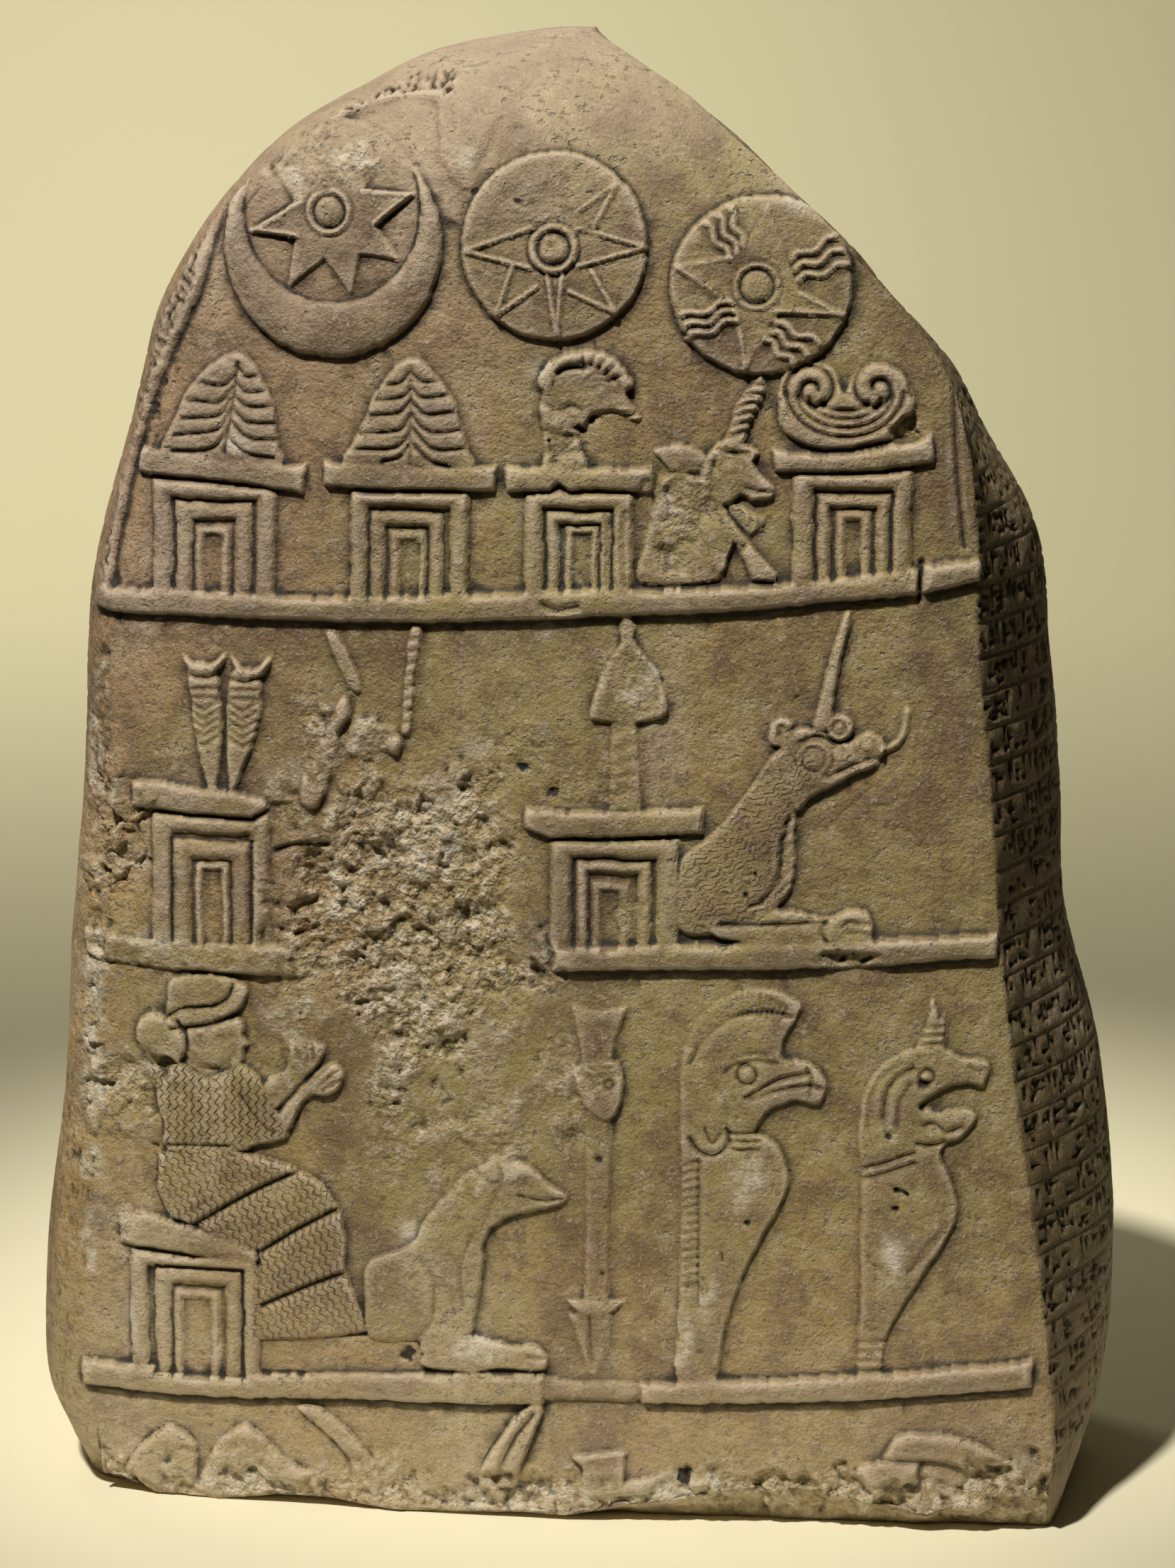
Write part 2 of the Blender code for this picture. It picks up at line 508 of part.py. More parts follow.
def make_dragon():
    """The horned dragon that lies before the sixth altar, its head raised to the right."""
    plate("dragon_body", [(25.2, 158.6), (25.2, 176), (31, 181.8), (37, 187.4), (41.4, 192), (45, 196.6), (50, 202.6),
                          (55, 208), (62, 203), (60, 195), (56.2, 190.6), (55.8, 184), (56.2, 176), (55, 170), (52, 165),
                          (46, 160.4), (35, 157.4)], FIGURE_RISE, smooth=2)
    plate("dragon_leg", [(34.2, 159.6), (45, 161), (52, 164.4), (60, 162.6), (65.4, 161.8), (71, 164.8), (75.4, 163.8),
                         (77, 158.6), (74.4, 155.6), (61.4, 154.6), (45, 155), (36, 156.2)], FIGURE_RISE + 0.0004, smooth=2)
    plate("dragon_chest", [(51.4, 190.6), (55.8, 190.4), (55.6, 184), (56, 176), (54.8, 170), (50.6, 165.2), (46.6, 165),
                           (51, 171), (51.4, 178)], FIGURE_RISE + DETAIL_STEP, smooth=2)
    plate("dragon_head", [(53.6, 208.6), (57, 212.4), (62, 212), (66, 209.4), (70, 209.8), (72.6, 211.8), (76, 212.6),
                          (79, 210), (79, 206.4), (76.4, 203.4), (71, 201), (65.6, 197.8), (60, 195), (56, 198),
                          (54.4, 203)], FIGURE_RISE + 0.0008, smooth=2)
    plate("dragon_eye", circle(60.7, 205.0, 4.3, 8), FIGURE_RISE + 0.0013, smooth=2)
    plate("dragon_pupil", circle(60.7, 205.0, 1.9, 6), FIGURE_RISE + 0.0019, smooth=2)
    plate("dragon_nostril", circle(75.2, 208.8, 2.7, 6), FIGURE_RISE + 0.0014, smooth=2)
    plate("dragon_tongue", [(78.4, 208.2), (82.4, 210.6), (84.4, 214), (85, 218.6), (86, 215), (84.6, 210.8), (82.4, 208.2),
                            (78.6, 206.8)], FIGURE_RISE - 0.0008, smooth=2)
    plate("dragon_curl_back", [(48.8, 212.4), (50.6, 215.4), (54, 214.8), (56.4, 212.4), (60, 213.8), (62, 211.4),
                               (57, 208), (52, 207.8), (49.6, 209.8)], FIGURE_RISE + 0.0002, smooth=2)
    plate("dragon_curl_front", circle(67.2, 213.2, 3.5, 7), FIGURE_RISE + 0.0003, smooth=2)
    cut_plate("dragon_horn", [(60.4, 213.6), (63.6, 228), (67.6, 243), (70, 244), (68.3, 236), (66.4, 226), (64.6, 213.6)],
              FIGURE_RISE + 0.0001)


def make_goddess():
    """The enthroned goddess: horned cap, hair in a bun, a robe in flounces, both hands raised."""
    plate("goddess_cap", [(-116.8, 130.4), (-117.2, 135), (-115.6, 139.6), (-106, 141.4), (-96.6, 139.8), (-94.4, 137),
                          (-95.6, 134), (-99.6, 131.6), (-108, 130)], FIGURE_RISE - 0.0003, smooth=2)
    plate("goddess_brim", [(-116, 126.4), (-113, 130.4), (-104, 131.6), (-98.6, 133.8), (-96, 138.4), (-94.6, 135.6),
                           (-98.4, 129.8), (-105, 126.6), (-112, 125.2)], FIGURE_RISE + DETAIL_STEP, smooth=2)
    plate("goddess_hair", [(-125, 127.4), (-121, 130), (-117, 128.6), (-113.4, 125.8), (-110, 121), (-111, 117.6),
                           (-117, 114.8), (-122.4, 115.8), (-125.4, 121)], FIGURE_RISE + 0.0003, smooth=2)
    plate("goddess_face", [(-112, 127.4), (-104, 128.2), (-95.6, 126), (-94.2, 121), (-96.4, 117.4), (-101.4, 115.8),
                           (-106, 113), (-111.4, 117.6)], FIGURE_RISE - 0.0001, smooth=2)
    plate("goddess_robe", [(-122.4, 113.6), (-117, 115.2), (-110, 115.8), (-104, 114), (-97, 115.8), (-91, 112.6),
                           (-86.6, 106.4), (-83, 98.4), (-90, 94.2), (-98, 91.6), (-116.4, 91), (-118, 98.4),
                           (-120.4, 106)], FIGURE_RISE, smooth=2)
    for line in range(3):
        low = 88.6 + 2.1 * line
        cut_plate(f"goddess_belt_{line}", [(-116.8, low), (-99.4, low + 0.6), (-99.4, low + 2.0), (-116.8, low + 1.4)],
                  FIGURE_RISE + 0.0004 + 0.0001 * line)
    plate("goddess_upper_hand", [(-90, 108.4), (-87.8, 113), (-83.8, 114.8), (-82, 119.4), (-79.8, 123.4), (-74, 123.6),
                                 (-70.6, 121), (-74, 117), (-78.6, 112), (-82.6, 108), (-86.6, 104.4)],
          FIGURE_RISE - 0.0006, smooth=2)
    plate("goddess_lower_hand", [(-85.2, 100.6), (-83.8, 105.4), (-80, 109.8), (-73.4, 116.2), (-69.6, 118.6),
                                 (-66.8, 115.6), (-68.6, 110.4), (-74, 109), (-78.4, 105.6), (-81, 99.4), (-83.4, 98.6)],
          FIGURE_RISE - 0.0002, smooth=2)
    flounces = [
        [(-119.6, 88.4), (-98, 90.6), (-86, 89.4), (-79.6, 87.2), (-94, 79.6), (-109, 70.2), (-116, 72.2), (-120, 80)],
        [(-109.4, 71), (-94, 80.2), (-79.4, 87.6), (-73, 84.4), (-68.4, 77.6), (-80, 70.6), (-90.4, 63.6), (-102, 67)],
        [(-91.2, 64.4), (-80, 71.2), (-68.2, 77.8), (-66.4, 69), (-66.8, 59.4), (-78, 54.4), (-91.2, 48.4)],
        [(-91.4, 49), (-78, 55), (-66.6, 60), (-62.6, 50), (-59.8, 43.2), (-74, 40.8), (-91.4, 38.8)],
    ]
    for index, outline in enumerate(flounces):
        cut_plate(f"goddess_flounce_{index}", outline, FIGURE_RISE - 0.0004 + 0.0002 * (index % 2) - 0.0001 * index)
    cut_plate("goddess_hem", [(-91.4, 33), (-91.2, 39.6), (-60, 43.4), (-57.8, 41.2), (-46, 41), (-46, 33)],
              FIGURE_RISE * 0.35)


def make_throne():
    cut_plate("throne_cushion", [(-131.4, 63.8), (-109.6, 61.8), (-91, 60.8), (-91.6, 64.4), (-98, 67.4), (-108, 69.4),
                                 (-119, 72.4), (-126, 73.4), (-131.6, 71.6)], FIGURE_RISE + 0.0005)
    nested_frames("throne", [(-128.2, -90, 63.4, 29), (-121.2, -95.4, 58.2, 29), (-116, -101.6, 51.8, 29),
                             (-112.6, -106, 47.8, 29)], FRAME_RISE - 0.0004)


def make_dog():
    """The seated dog beside the throne."""
    plate("dog_body", [(-60, 62.4), (-50.2, 66.8), (-46.8, 69.4), (-44, 75), (-40.6, 79.8), (-36.4, 84.6), (-31.4, 89.6),
                       (-27, 90.4), (-24, 84), (-25.4, 75), (-28.4, 69), (-27.6, 65), (-28.6, 58), (-30, 50), (-32.2, 42.6),
                       (-40, 36), (-45, 38.6), (-46.4, 41.4), (-59, 41.2), (-61, 51)], FIGURE_RISE, smooth=2)
    plate("dog_head", [(-31.4, 89.2), (-26, 92.6), (-18, 92.4), (-12, 89), (-5.4, 84.6), (-5.2, 82), (-11, 80),
                       (-20, 77.6), (-25, 74), (-29.4, 77)], FIGURE_RISE - 0.0004, smooth=2)
    plate("dog_feet", [(-44.8, 34.4), (-41.6, 40), (-33.6, 43), (-25, 42.4), (-19, 41.4), (-12.8, 41.8), (-9.8, 37.6),
                       (-12.4, 34.6), (-22, 35), (-32, 33.4)], FIGURE_RISE + 0.0004, smooth=2)


def make_mace():
    """The staff with a masked head that stands between the dog and the eagle staff."""
    cut_plate("mace_top", [(-0.6, 119), (-1.8, 127), (-4, 136.8), (3, 135.2), (11.2, 136.6), (9.6, 132), (7.6, 127),
                           (6.6, 119)], FIGURE_RISE - 0.0004)
    plate("mace_mask", [(-2.8, 119.6), (-2, 113), (0.6, 108.4), (6, 105.2), (9.2, 109), (10, 116), (8.6, 121.4), (3, 121)],
          FIGURE_RISE + 0.0002, smooth=2)
    cut_plate("mace_shaft", [(0.2, 50), (0.6, 109), (7.2, 108), (6.6, 50)], FIGURE_RISE - 0.0012)
    cut_plate("mace_bar", [(-5, 54.8), (0, 50.8), (6.6, 51.4), (11.2, 55.2)], FIGURE_RISE - 0.0006)
    cut_plate("mace_foot", [(-4.2, 51), (1.6, 34.4), (3.4, 34), (6.8, 42), (7.6, 51)], FIGURE_RISE - 0.0009)


def make_eagle_staff():
    plate("eagle_staff", [(26.4, 31.5), (26.8, 60), (27.6, 90), (30, 99), (40, 102), (47, 102.6), (53.2, 99), (55.4, 91),
                          (54.6, 86.4), (51, 79), (47, 71), (43.4, 63), (40.6, 55), (38.2, 46), (36.6, 36), (36, 32)],
          FIGURE_RISE - 0.0003, smooth=2)
    plate("eagle_head", [(26.4, 104), (26, 115), (27.2, 127), (31.4, 135), (37.2, 140), (44, 142.2), (51.4, 142),
                         (57.8, 139), (56.4, 133.4), (53.4, 127), (54, 123.4), (60, 122.8), (64.4, 120), (65, 115.6),
                         (63, 111.4), (56, 111.8), (50.4, 109.6), (47.6, 107), (46.8, 102), (38, 101.4), (30, 99.8)],
          FIGURE_RISE, smooth=2)
    plate("eagle_beak", [(44, 113.2), (52, 117.4), (58, 121.6), (63.4, 120), (64.6, 115), (62.8, 111.8), (55.6, 112.4)],
          FIGURE_RISE + DETAIL_STEP, smooth=2)
    plate("eagle_curl", circle(34.8, 99.8, 4.4, 7), FIGURE_RISE + DETAIL_STEP, smooth=2)
    for line in range(2):
        low = 98.4 + 2.6 * line
        cut_plate(f"eagle_neckband_{line}", box(38.6, low, 47.8 + line, low + 1.4), FIGURE_RISE + DETAIL_STEP * (0.7 + 0.1 * line))
    plate("eagle_eye", circle(44.0, 119.0, 2.0, 5), FIGURE_RISE + DETAIL_STEP, smooth=2)


def make_griffin_staff():
    plate("griffin_staff", [(75.2, 36), (75.6, 60), (76.4, 88), (80, 93), (88, 97), (95, 95.6), (99, 91.6), (100.8, 84),
                            (99.8, 77), (95.6, 70), (90.6, 61.6), (85.6, 52.8), (82, 45), (80.8, 36)],
          FIGURE_RISE - 0.0003, smooth=2)
    plate("griffin_head", [(74.2, 95), (74, 104), (75.4, 112), (78, 118.6), (82, 123.2), (88, 125.4), (94, 125.4),
                           (97.6, 125.8), (101, 123.8), (108.4, 124.6), (108, 119), (107.2, 115.6), (102.6, 116.8),
                           (97, 114.8), (93, 112), (96, 110.4), (101.4, 110.4), (104.6, 108.4), (101.4, 102.4),
                           (96, 100), (89.6, 99), (81, 95.4)], FIGURE_RISE, smooth=2)
    plate("griffin_ear", [(89.6, 124.6), (91.4, 133), (91.8, 140.8), (93.8, 137), (94, 130), (92.8, 124.6)],
          FIGURE_RISE - 0.0004, smooth=2)
    plate("griffin_horn", [(93.4, 125), (94.4, 130), (94.8, 135.4), (96, 131), (95.6, 126)], FIGURE_RISE - 0.0002, smooth=2)
    cut_plate("griffin_neckband", [(75, 91.2), (81, 92.4), (88.6, 96), (88.4, 98), (80.8, 94.8), (74.8, 93.6)],
              FIGURE_RISE + DETAIL_STEP)


def make_bottom_row():
    """The broken bottom row: tops of heads, a horn, the rim of a cup and an arched band."""
    plate("bottom_head_left", [(-131, -2), (-127, 4.6), (-120, 11.2), (-116.4, 12.8), (-112.4, 11), (-109, 6), (-112, -2),
                               (-121, -3.4)], FIGURE_RISE - 0.0008, smooth=2)
    plate("bottom_head_right", [(-108, -2), (-105, 6), (-99, 12.4), (-95, 14.8), (-90, 11.2), (-84, 6), (-75, 2), (-68, 0),
                                (-80, -3), (-95, -4)], FIGURE_RISE - 0.0006, smooth=2)
    plate("bottom_horn", [(-13.4, 24.4), (-18.6, 21.4), (-23, 15.4), (-27.4, 8), (-29.6, 0), (-30, -5), (-19.6, -5),
                          (-18.4, 4), (-15.6, 12), (-11.2, 22.4)], FIGURE_RISE - 0.0004, smooth=2)
    cut_plate("bottom_cup", [(-2.6, 10.6), (9.8, 12.8), (11.6, 12.2), (10.8, -4), (0.6, -4), (0, 8)], FIGURE_RISE - 0.0010)
    plate("bottom_lump", [(10.6, 2), (14, 5), (21, 6), (27, 4), (33, 6), (39.4, 9.6), (36, 2), (26, -2), (14, -4)],
          FIGURE_RISE - 0.0012, smooth=2)
    cut_plate("bottom_arch", [(74, 1), (76, 11.4), (82, 13.4), (85.6, 21.6), (94, 21.2), (103.4, 20.2), (111, 17),
                              (117, 14), (120.4, 8), (112, 3), (108, 5), (106.6, 9.4), (99.6, 12), (92, 12.4), (88, 1)],
              FIGURE_RISE - 0.0009)


def join_carving(stone):
    """One solid: the stone's body united with everything in the carving collection."""
    union = stone.modifiers.new("carving", "BOOLEAN")
    union.operation = "UNION"
    union.solver = "EXACT"
    union.operand_type = "COLLECTION"
    union.collection = carving
    bpy.context.view_layer.update()
    evaluated = stone.evaluated_get(bpy.context.evaluated_depsgraph_get())
    mesh = bpy.data.meshes.new_from_object(evaluated)
    stone.modifiers.clear()
    stone.data = mesh


def stand_at_origin(stone):
    """Moves the mesh so that the middle of the stone's footprint box is at the origin, on z = 0."""
    low = [min(vertex.co[axis] for vertex in stone.data.vertices) for axis in range(3)]
    high = [max(vertex.co[axis] for vertex in stone.data.vertices) for axis in range(3)]
    shift = Vector((-(low[0] + high[0]) / 2, -(low[1] + high[1]) / 2, -low[2]))
    stone.data.transform(Matrix.Translation(shift))
    print("shift in mm:", [round(1000 * value, 3) for value in shift])


def stone_material():
    material = bpy.data.materials.new("limestone")
    material.use_nodes = True
    shader = material.node_tree.nodes["Principled BSDF"]
    shader.inputs["Base Color"].default_value = STONE_COLOUR
    shader.inputs["Roughness"].default_value = 0.75
    shader.inputs["Metallic"].default_value = 0.0
    material.diffuse_color = STONE_COLOUR
    return material


for old in list(bpy.data.objects):
    bpy.data.objects.remove(old, do_unlink=True)
parts = bpy.data.collections.new("kudurru")
carving = bpy.data.collections.new("carving")
bpy.context.scene.collection.children.link(parts)
bpy.context.scene.collection.children.link(carving)

foot = ring(FOOT_LEVEL)
edge = ring(FOOT_EDGE_LEVEL, FOOT_EDGE)
stone = loft("kudurru_stone", [foot, edge] + [ring(row) for row in LEVELS])
parts.objects.link(stone)

make_crescent()
make_star_disc()
make_sun_disc()
make_altars()
make_double_spiral()
make_ram_head()
make_goat_fish()
make_bands()
make_styluses()
make_broken_dragon()
make_spade()
make_dragon()
make_goddess()
make_throne()
make_dog()
make_mace()
make_eagle_staff()
make_griffin_staff()
make_bottom_row()

join_carving(stone)
stand_at_origin(stone)
stone.data.materials.clear()
stone.data.materials.append(stone_material())
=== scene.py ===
"""The dressed model of a kudurru, a carved limestone boundary stone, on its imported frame.

Carving is worked out on a flat sheet laid over the face: u runs right and v up, in millimetres, and
height is how far the stone stands out there. The sheet is then wrapped round the body of the stone.
"""

import math

import bpy
import numpy as np
from mathutils import Matrix, Vector


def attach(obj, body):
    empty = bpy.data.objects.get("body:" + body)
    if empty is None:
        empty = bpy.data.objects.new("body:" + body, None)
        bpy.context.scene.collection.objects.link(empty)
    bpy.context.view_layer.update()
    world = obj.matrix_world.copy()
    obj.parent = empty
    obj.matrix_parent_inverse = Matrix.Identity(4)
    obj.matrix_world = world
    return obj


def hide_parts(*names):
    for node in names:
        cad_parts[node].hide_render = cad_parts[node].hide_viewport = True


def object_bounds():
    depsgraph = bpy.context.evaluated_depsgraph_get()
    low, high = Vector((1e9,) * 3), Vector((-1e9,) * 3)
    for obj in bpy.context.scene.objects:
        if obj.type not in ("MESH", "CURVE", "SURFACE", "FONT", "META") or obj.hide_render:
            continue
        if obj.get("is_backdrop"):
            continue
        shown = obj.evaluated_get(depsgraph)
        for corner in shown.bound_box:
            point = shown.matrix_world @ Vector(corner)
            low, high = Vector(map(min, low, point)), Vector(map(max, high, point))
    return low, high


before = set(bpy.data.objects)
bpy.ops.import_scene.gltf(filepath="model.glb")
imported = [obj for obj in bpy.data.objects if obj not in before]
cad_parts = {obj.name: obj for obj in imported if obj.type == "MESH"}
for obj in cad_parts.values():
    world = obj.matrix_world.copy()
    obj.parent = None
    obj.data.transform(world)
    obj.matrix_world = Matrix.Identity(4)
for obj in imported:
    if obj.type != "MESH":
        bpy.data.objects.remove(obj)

MM = 0.001
cad_low, cad_high = (np.array(corner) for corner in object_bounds())

# The view. The camera stands a little to the right of the stone's middle and above its top, about
# 1.2 m away, with a long lens. It looks at a point on the face, half way up the stone.
VIEW_AZIMUTH, VIEW_ELEVATION = math.radians(8), math.radians(11)
CAMERA_PLACE = Vector((0.1698, -1.2042, 0.4282))
LENS_MM, LONG_SIDE_MM = 100, 36

camera = bpy.data.objects.new("camera", bpy.data.cameras.new("camera"))
camera.data.lens = LENS_MM
camera.data.sensor_width = LONG_SIDE_MM
camera_back = Vector((
    math.sin(VIEW_AZIMUTH) * math.cos(VIEW_ELEVATION),
    -math.cos(VIEW_AZIMUTH) * math.cos(VIEW_ELEVATION),
    math.sin(VIEW_ELEVATION),
))
camera_turn = camera_back.to_track_quat("Z", "Y").to_matrix().to_4x4()
camera.matrix_world = Matrix.Translation(CAMERA_PLACE) @ camera_turn
bpy.context.scene.collection.objects.link(camera)
bpy.context.scene.camera = camera
bpy.context.scene.view_settings.view_transform = "Standard"

# The block. One slab of limestone, flat in front, leaning back a little, with a sharp edge on the
# right, rounded corners on the left and a crown that curves back. It stands on a level break.
FOOT_V = -8.0
LEAN = math.tan(math.radians(3))
FRONT_BULGE = 6.0
SIDE_REACH, CORNER_REACH = 0.42, 0.33
BACK_SQUARENESS = 0.72
# Levels: v, left side, left corner, right arris, right side, front set back, back.
FOOT_LEVEL = (-8, -151.5, -133.0, 127.0, 132.0, 10.0, 136.0)
LEVELS = [
    (4, -154.0, -136.5, 127.5, 136.0, 0.0, 141.0),
    (18, -161.0, -139.0, 128.5, 140.0, 0.0, 146.0),
    (40, -162.0, -139.0, 126.5, 142.0, 0.0, 150.0),
    (70, -159.5, -138.0, 122.5, 142.0, 0.0, 150.0),
    (110, -155.0, -134.0, 117.0, 137.0, 0.0, 150.0),
    (150, -152.5, -132.0, 112.0, 127.0, 0.0, 149.0),
    (190, -149.0, -130.0, 108.5, 123.5, 0.0, 147.0),
    (235, -147.0, -128.0, 104.0, 120.0, 0.0, 143.0),
    (262, -142.0, -123.5, 103.0, 115.0, 0.0, 139.0),
    (285, -136.0, -117.0, 101.0, 101.5, 0.0, 135.0),
    (305, -130.5, -111.5, 95.5, 91.0, 0.0, 131.0),
    (322, -125.5, -106.5, 84.0, 75.5, 0.0, 127.0),
    (338, -116.5, -99.5, 69.0, 62.0, 0.0, 122.0),
    (354, -104.5, -89.0, 53.0, 44.0, 0.5, 115.0),
    (368, -90.0, -75.0, 37.0, 29.5, 4.5, 106.0),
    (380, -71.0, -58.0, 21.0, 13.5, 13.0, 97.0),
    (389, -52.5, -42.0, 5.0, 0.0, 26.0, 88.0),
    (394, -30.0, -25.0, -5.5, -6.5, 42.0, 78.0),
    (396, -17.0, -16.0, -9.0, -8.0, 54.0, 68.0),
]
# How far the broken lower edge of the face lies above or below v = 0, from left to right.
FOOT_EDGE = [-3.0, -7.6, -8.0, -5.2, -5.0, -7.0, -6.6, -6.0, -6.2, -3.0, -0.8, 2.6, 3.2, -0.6, -3.0, 1.6, 6.0]
ROW_STEP, FOOT_ROWS = 0.5, 22
FRONT_COLUMNS, RIGHT_COLUMNS, BACK_COLUMNS, CORNER_COLUMNS = 600, 84, 90, 64


def smooth(points, closed=True, steps=6):
    """Catmull-Rom curve: between two points a cubic whose end slopes are half the step past them."""
    points = np.asarray(points, float)
    if closed:
        rows = [np.roll(points, shift, 0) for shift in (1, 0, -1, -2)]
    else:
        padded = np.vstack((2 * points[0] - points[1], points, 2 * points[-1] - points[-2]))
        rows = [padded[:-3], padded[1:-2], padded[2:-1], padded[3:]]
    a, b, c, d = (row[:, None, :] for row in rows)
    t = (np.arange(steps) / steps)[None, :, None]
    curve = 0.5 * (2 * b + (c - a) * t + (2 * a - 5 * b + 4 * c - d) * t**2 + (3 * b - a - 3 * c + d) * t**3)
    curve = curve.reshape(-1, points.shape[1])
    return curve if closed else np.vstack((curve, points[-1]))


def level_rows():
    """Level table at even steps: straight from the foot to its edge, then a smooth curve to the top.

    The step is measured up the middle of the front, as the root of rise squared plus set back squared.
    """
    upper = smooth(LEVELS, closed=False, steps=40)
    travelled = np.concatenate(([0], np.cumsum(np.hypot(np.diff(upper[:, 0]), np.diff(upper[:, 5])))))
    wanted = np.arange(0, travelled[-1], ROW_STEP)
    upper = np.stack([np.interp(wanted, travelled, column) for column in upper.T], -1)
    share = np.linspace(0, 1, FOOT_ROWS, endpoint=False)[:, None]
    lower = np.array(FOOT_LEVEL) * (1 - share) + np.array(LEVELS[0]) * share
    return np.vstack((lower, upper))


def body_grid(rows):
    """Places (u, depth, v) on a grid of levels by columns, going round from the left front corner.

    Front: a straight run with a shallow parabola. Right side: sine from the arris to the widest
    place. Back: two quarters of a squared ellipse. Left corner: a quarter ellipse back to the front.
    """
    v, left, corner, arris, right, set_back, back = (column[:, None] for column in rows.T)
    base = LEAN * (v - FOOT_V)
    edge = base + set_back + FRONT_BULGE
    rear = base + back
    share = np.linspace(0, 1, FRONT_COLUMNS, endpoint=False)[None, :]
    front_u = corner + (arris - corner) * share
    front_depth = base + set_back + FRONT_BULGE * (2 * share - 1) ** 2
    foot_edge = np.interp(share[0], np.linspace(0, 1, len(FOOT_EDGE)), FOOT_EDGE)[None, :]
    above = np.clip((LEVELS[1][0] - v) / (LEVELS[1][0] - LEVELS[0][0]), 0, 1)
    below = np.clip((v - FOOT_V) / (LEVELS[0][0] - FOOT_V), 0, 1)
    front_v = v + (foot_edge - LEVELS[0][0]) * above * below
    side = np.linspace(0, 1, RIGHT_COLUMNS, endpoint=False)[None, :]
    reach = (rear - edge) * SIDE_REACH
    side_u = arris + (right - arris) * np.sin(side * math.pi / 2)
    side_depth = edge + reach * side
    turn = np.linspace(0, math.pi, 2 * BACK_COLUMNS, endpoint=False)[None, :]
    corner_reach = (rear - edge) * CORNER_REACH
    middle = (left + right) / 2
    swing = np.abs(np.cos(turn)) ** BACK_SQUARENESS * np.sign(np.cos(turn))
    back_u = middle + (right - middle) * swing
    start = edge + np.where(turn < math.pi / 2, reach, corner_reach)
    back_depth = start + (rear - start) * np.sin(turn) ** BACK_SQUARENESS
    bend = np.linspace(math.pi / 2, 0, CORNER_COLUMNS, endpoint=False)[None, :]
    corner_u = corner - (corner - left) * np.sin(bend)
    corner_depth = edge + corner_reach * (1 - np.cos(bend))
    u = np.hstack((front_u, side_u, back_u, corner_u))
    depth = np.hstack((front_depth, side_depth, back_depth, corner_depth))
    flat_v = np.broadcast_to(v, (len(v), u.shape[1] - FRONT_COLUMNS))
    return np.stack((u, depth, np.hstack((front_v, flat_v))), -1)


# The sheet and the crescent, the first of the three great signs along the top: a moon with a star
# in its arms. It was left standing as the mason cut the ground away, so its sides are hand-cut edges.
CELL = 0.4
SHEET_U = np.arange(-168, 146, CELL)
SHEET_V = np.arange(-14, 400, CELL)
height = np.zeros((len(SHEET_V), len(SHEET_U)))
sheet_u, sheet_v = np.meshgrid(SHEET_U, SHEET_V)
sheet = np.stack((sheet_u, sheet_v), -1)
# The share of every height that wear has left.
WEAR = 0.68
LATTICE_SIZE = 65536
LATTICE = np.random.default_rng(7).random(LATTICE_SIZE)
CORNER_HASH = np.array((73856093, 19349663, 83492791))
SEED_SHIFT = 17.3


def noise(points, size, seed=0):
    """Value noise, -1 to 1: random values at the corners of a lattice, blended by smooth steps."""
    grid = np.asarray(points) / size + seed * SEED_SHIFT
    cell = np.floor(grid).astype(np.int64)
    share = grid - cell
    share = share * share * (3 - 2 * share)
    total = 0
    for corner in np.ndindex(*(2,) * grid.shape[-1]):
        place = (cell + corner) * CORNER_HASH[: grid.shape[-1]]
        weight = np.prod(np.where(np.array(corner) == 1, share, 1 - share), axis=-1)
        total = total + weight * LATTICE[np.bitwise_xor.reduce(place, axis=-1) & (LATTICE_SIZE - 1)]
    return 2 * total - 1


def layers(points, size, count, seed=0, gain=0.5):
    """Several noises added up, each half the size and a gain times the strength of the last."""
    return sum(gain**k * noise(points, size / 2**k, seed + k) for k in range(count))


broad = layers(sheet, 26, 3, seed=1)
middle = layers(sheet, 7, 3, seed=5)
fine = layers(sheet, 2.2, 2, seed=9)
hand_cut = 0.22 * middle + 0.14 * fine


def window(points, margin=2.0):
    """The part of the sheet within a margin of the points' box: its slices, and its u and v."""
    low, high = points.min(0) - margin, points.max(0) + margin
    columns = slice(*np.searchsorted(SHEET_U, (low[0], high[0])))
    rows = slice(*np.searchsorted(SHEET_V, (low[1], high[1])))
    return (rows, columns), sheet_u[rows, columns], sheet_v[rows, columns]


def line_distance(points, u, v, closed=False):
    """Least distance from each place to a line: to the nearest point of each straight piece."""
    ends = np.roll(points, -1, 0) if closed else points[1:]
    best = np.full(u.shape, np.inf)
    for (from_u, from_v), (to_u, to_v) in zip(points, ends):
        along_u, along_v = to_u - from_u, to_v - from_v
        share = ((u - from_u) * along_u + (v - from_v) * along_v) / (along_u**2 + along_v**2 + 1e-9)
        share = np.clip(share, 0, 1)
        gap = (u - from_u - share * along_u) ** 2 + (v - from_v - share * along_v) ** 2
        best = np.minimum(best, gap)
    return np.sqrt(best)


def depth_inside(points, u, v):
    """Distance to a closed outline, positive inside it: odd crossings of a level line mean inside."""
    odd = np.zeros(u.shape, bool)
    for (from_u, from_v), (to_u, to_v) in zip(points, np.roll(points, -1, 0)):
        if from_v != to_v:
            level_u = from_u + (to_u - from_u) * (v - from_v) / (to_v - from_v)
            odd ^= ((from_v > v) != (to_v > v)) & (u < level_u)
    gap = line_distance(points, u, v, closed=True)
    return np.where(odd, gap, -gap)


def quarter_round(share):
    """A rounded shoulder: the rise of a quarter circle from 0 at the edge to 1."""
    share = np.clip(share, 0, 1)
    return np.sqrt(1 - (1 - share) ** 2)


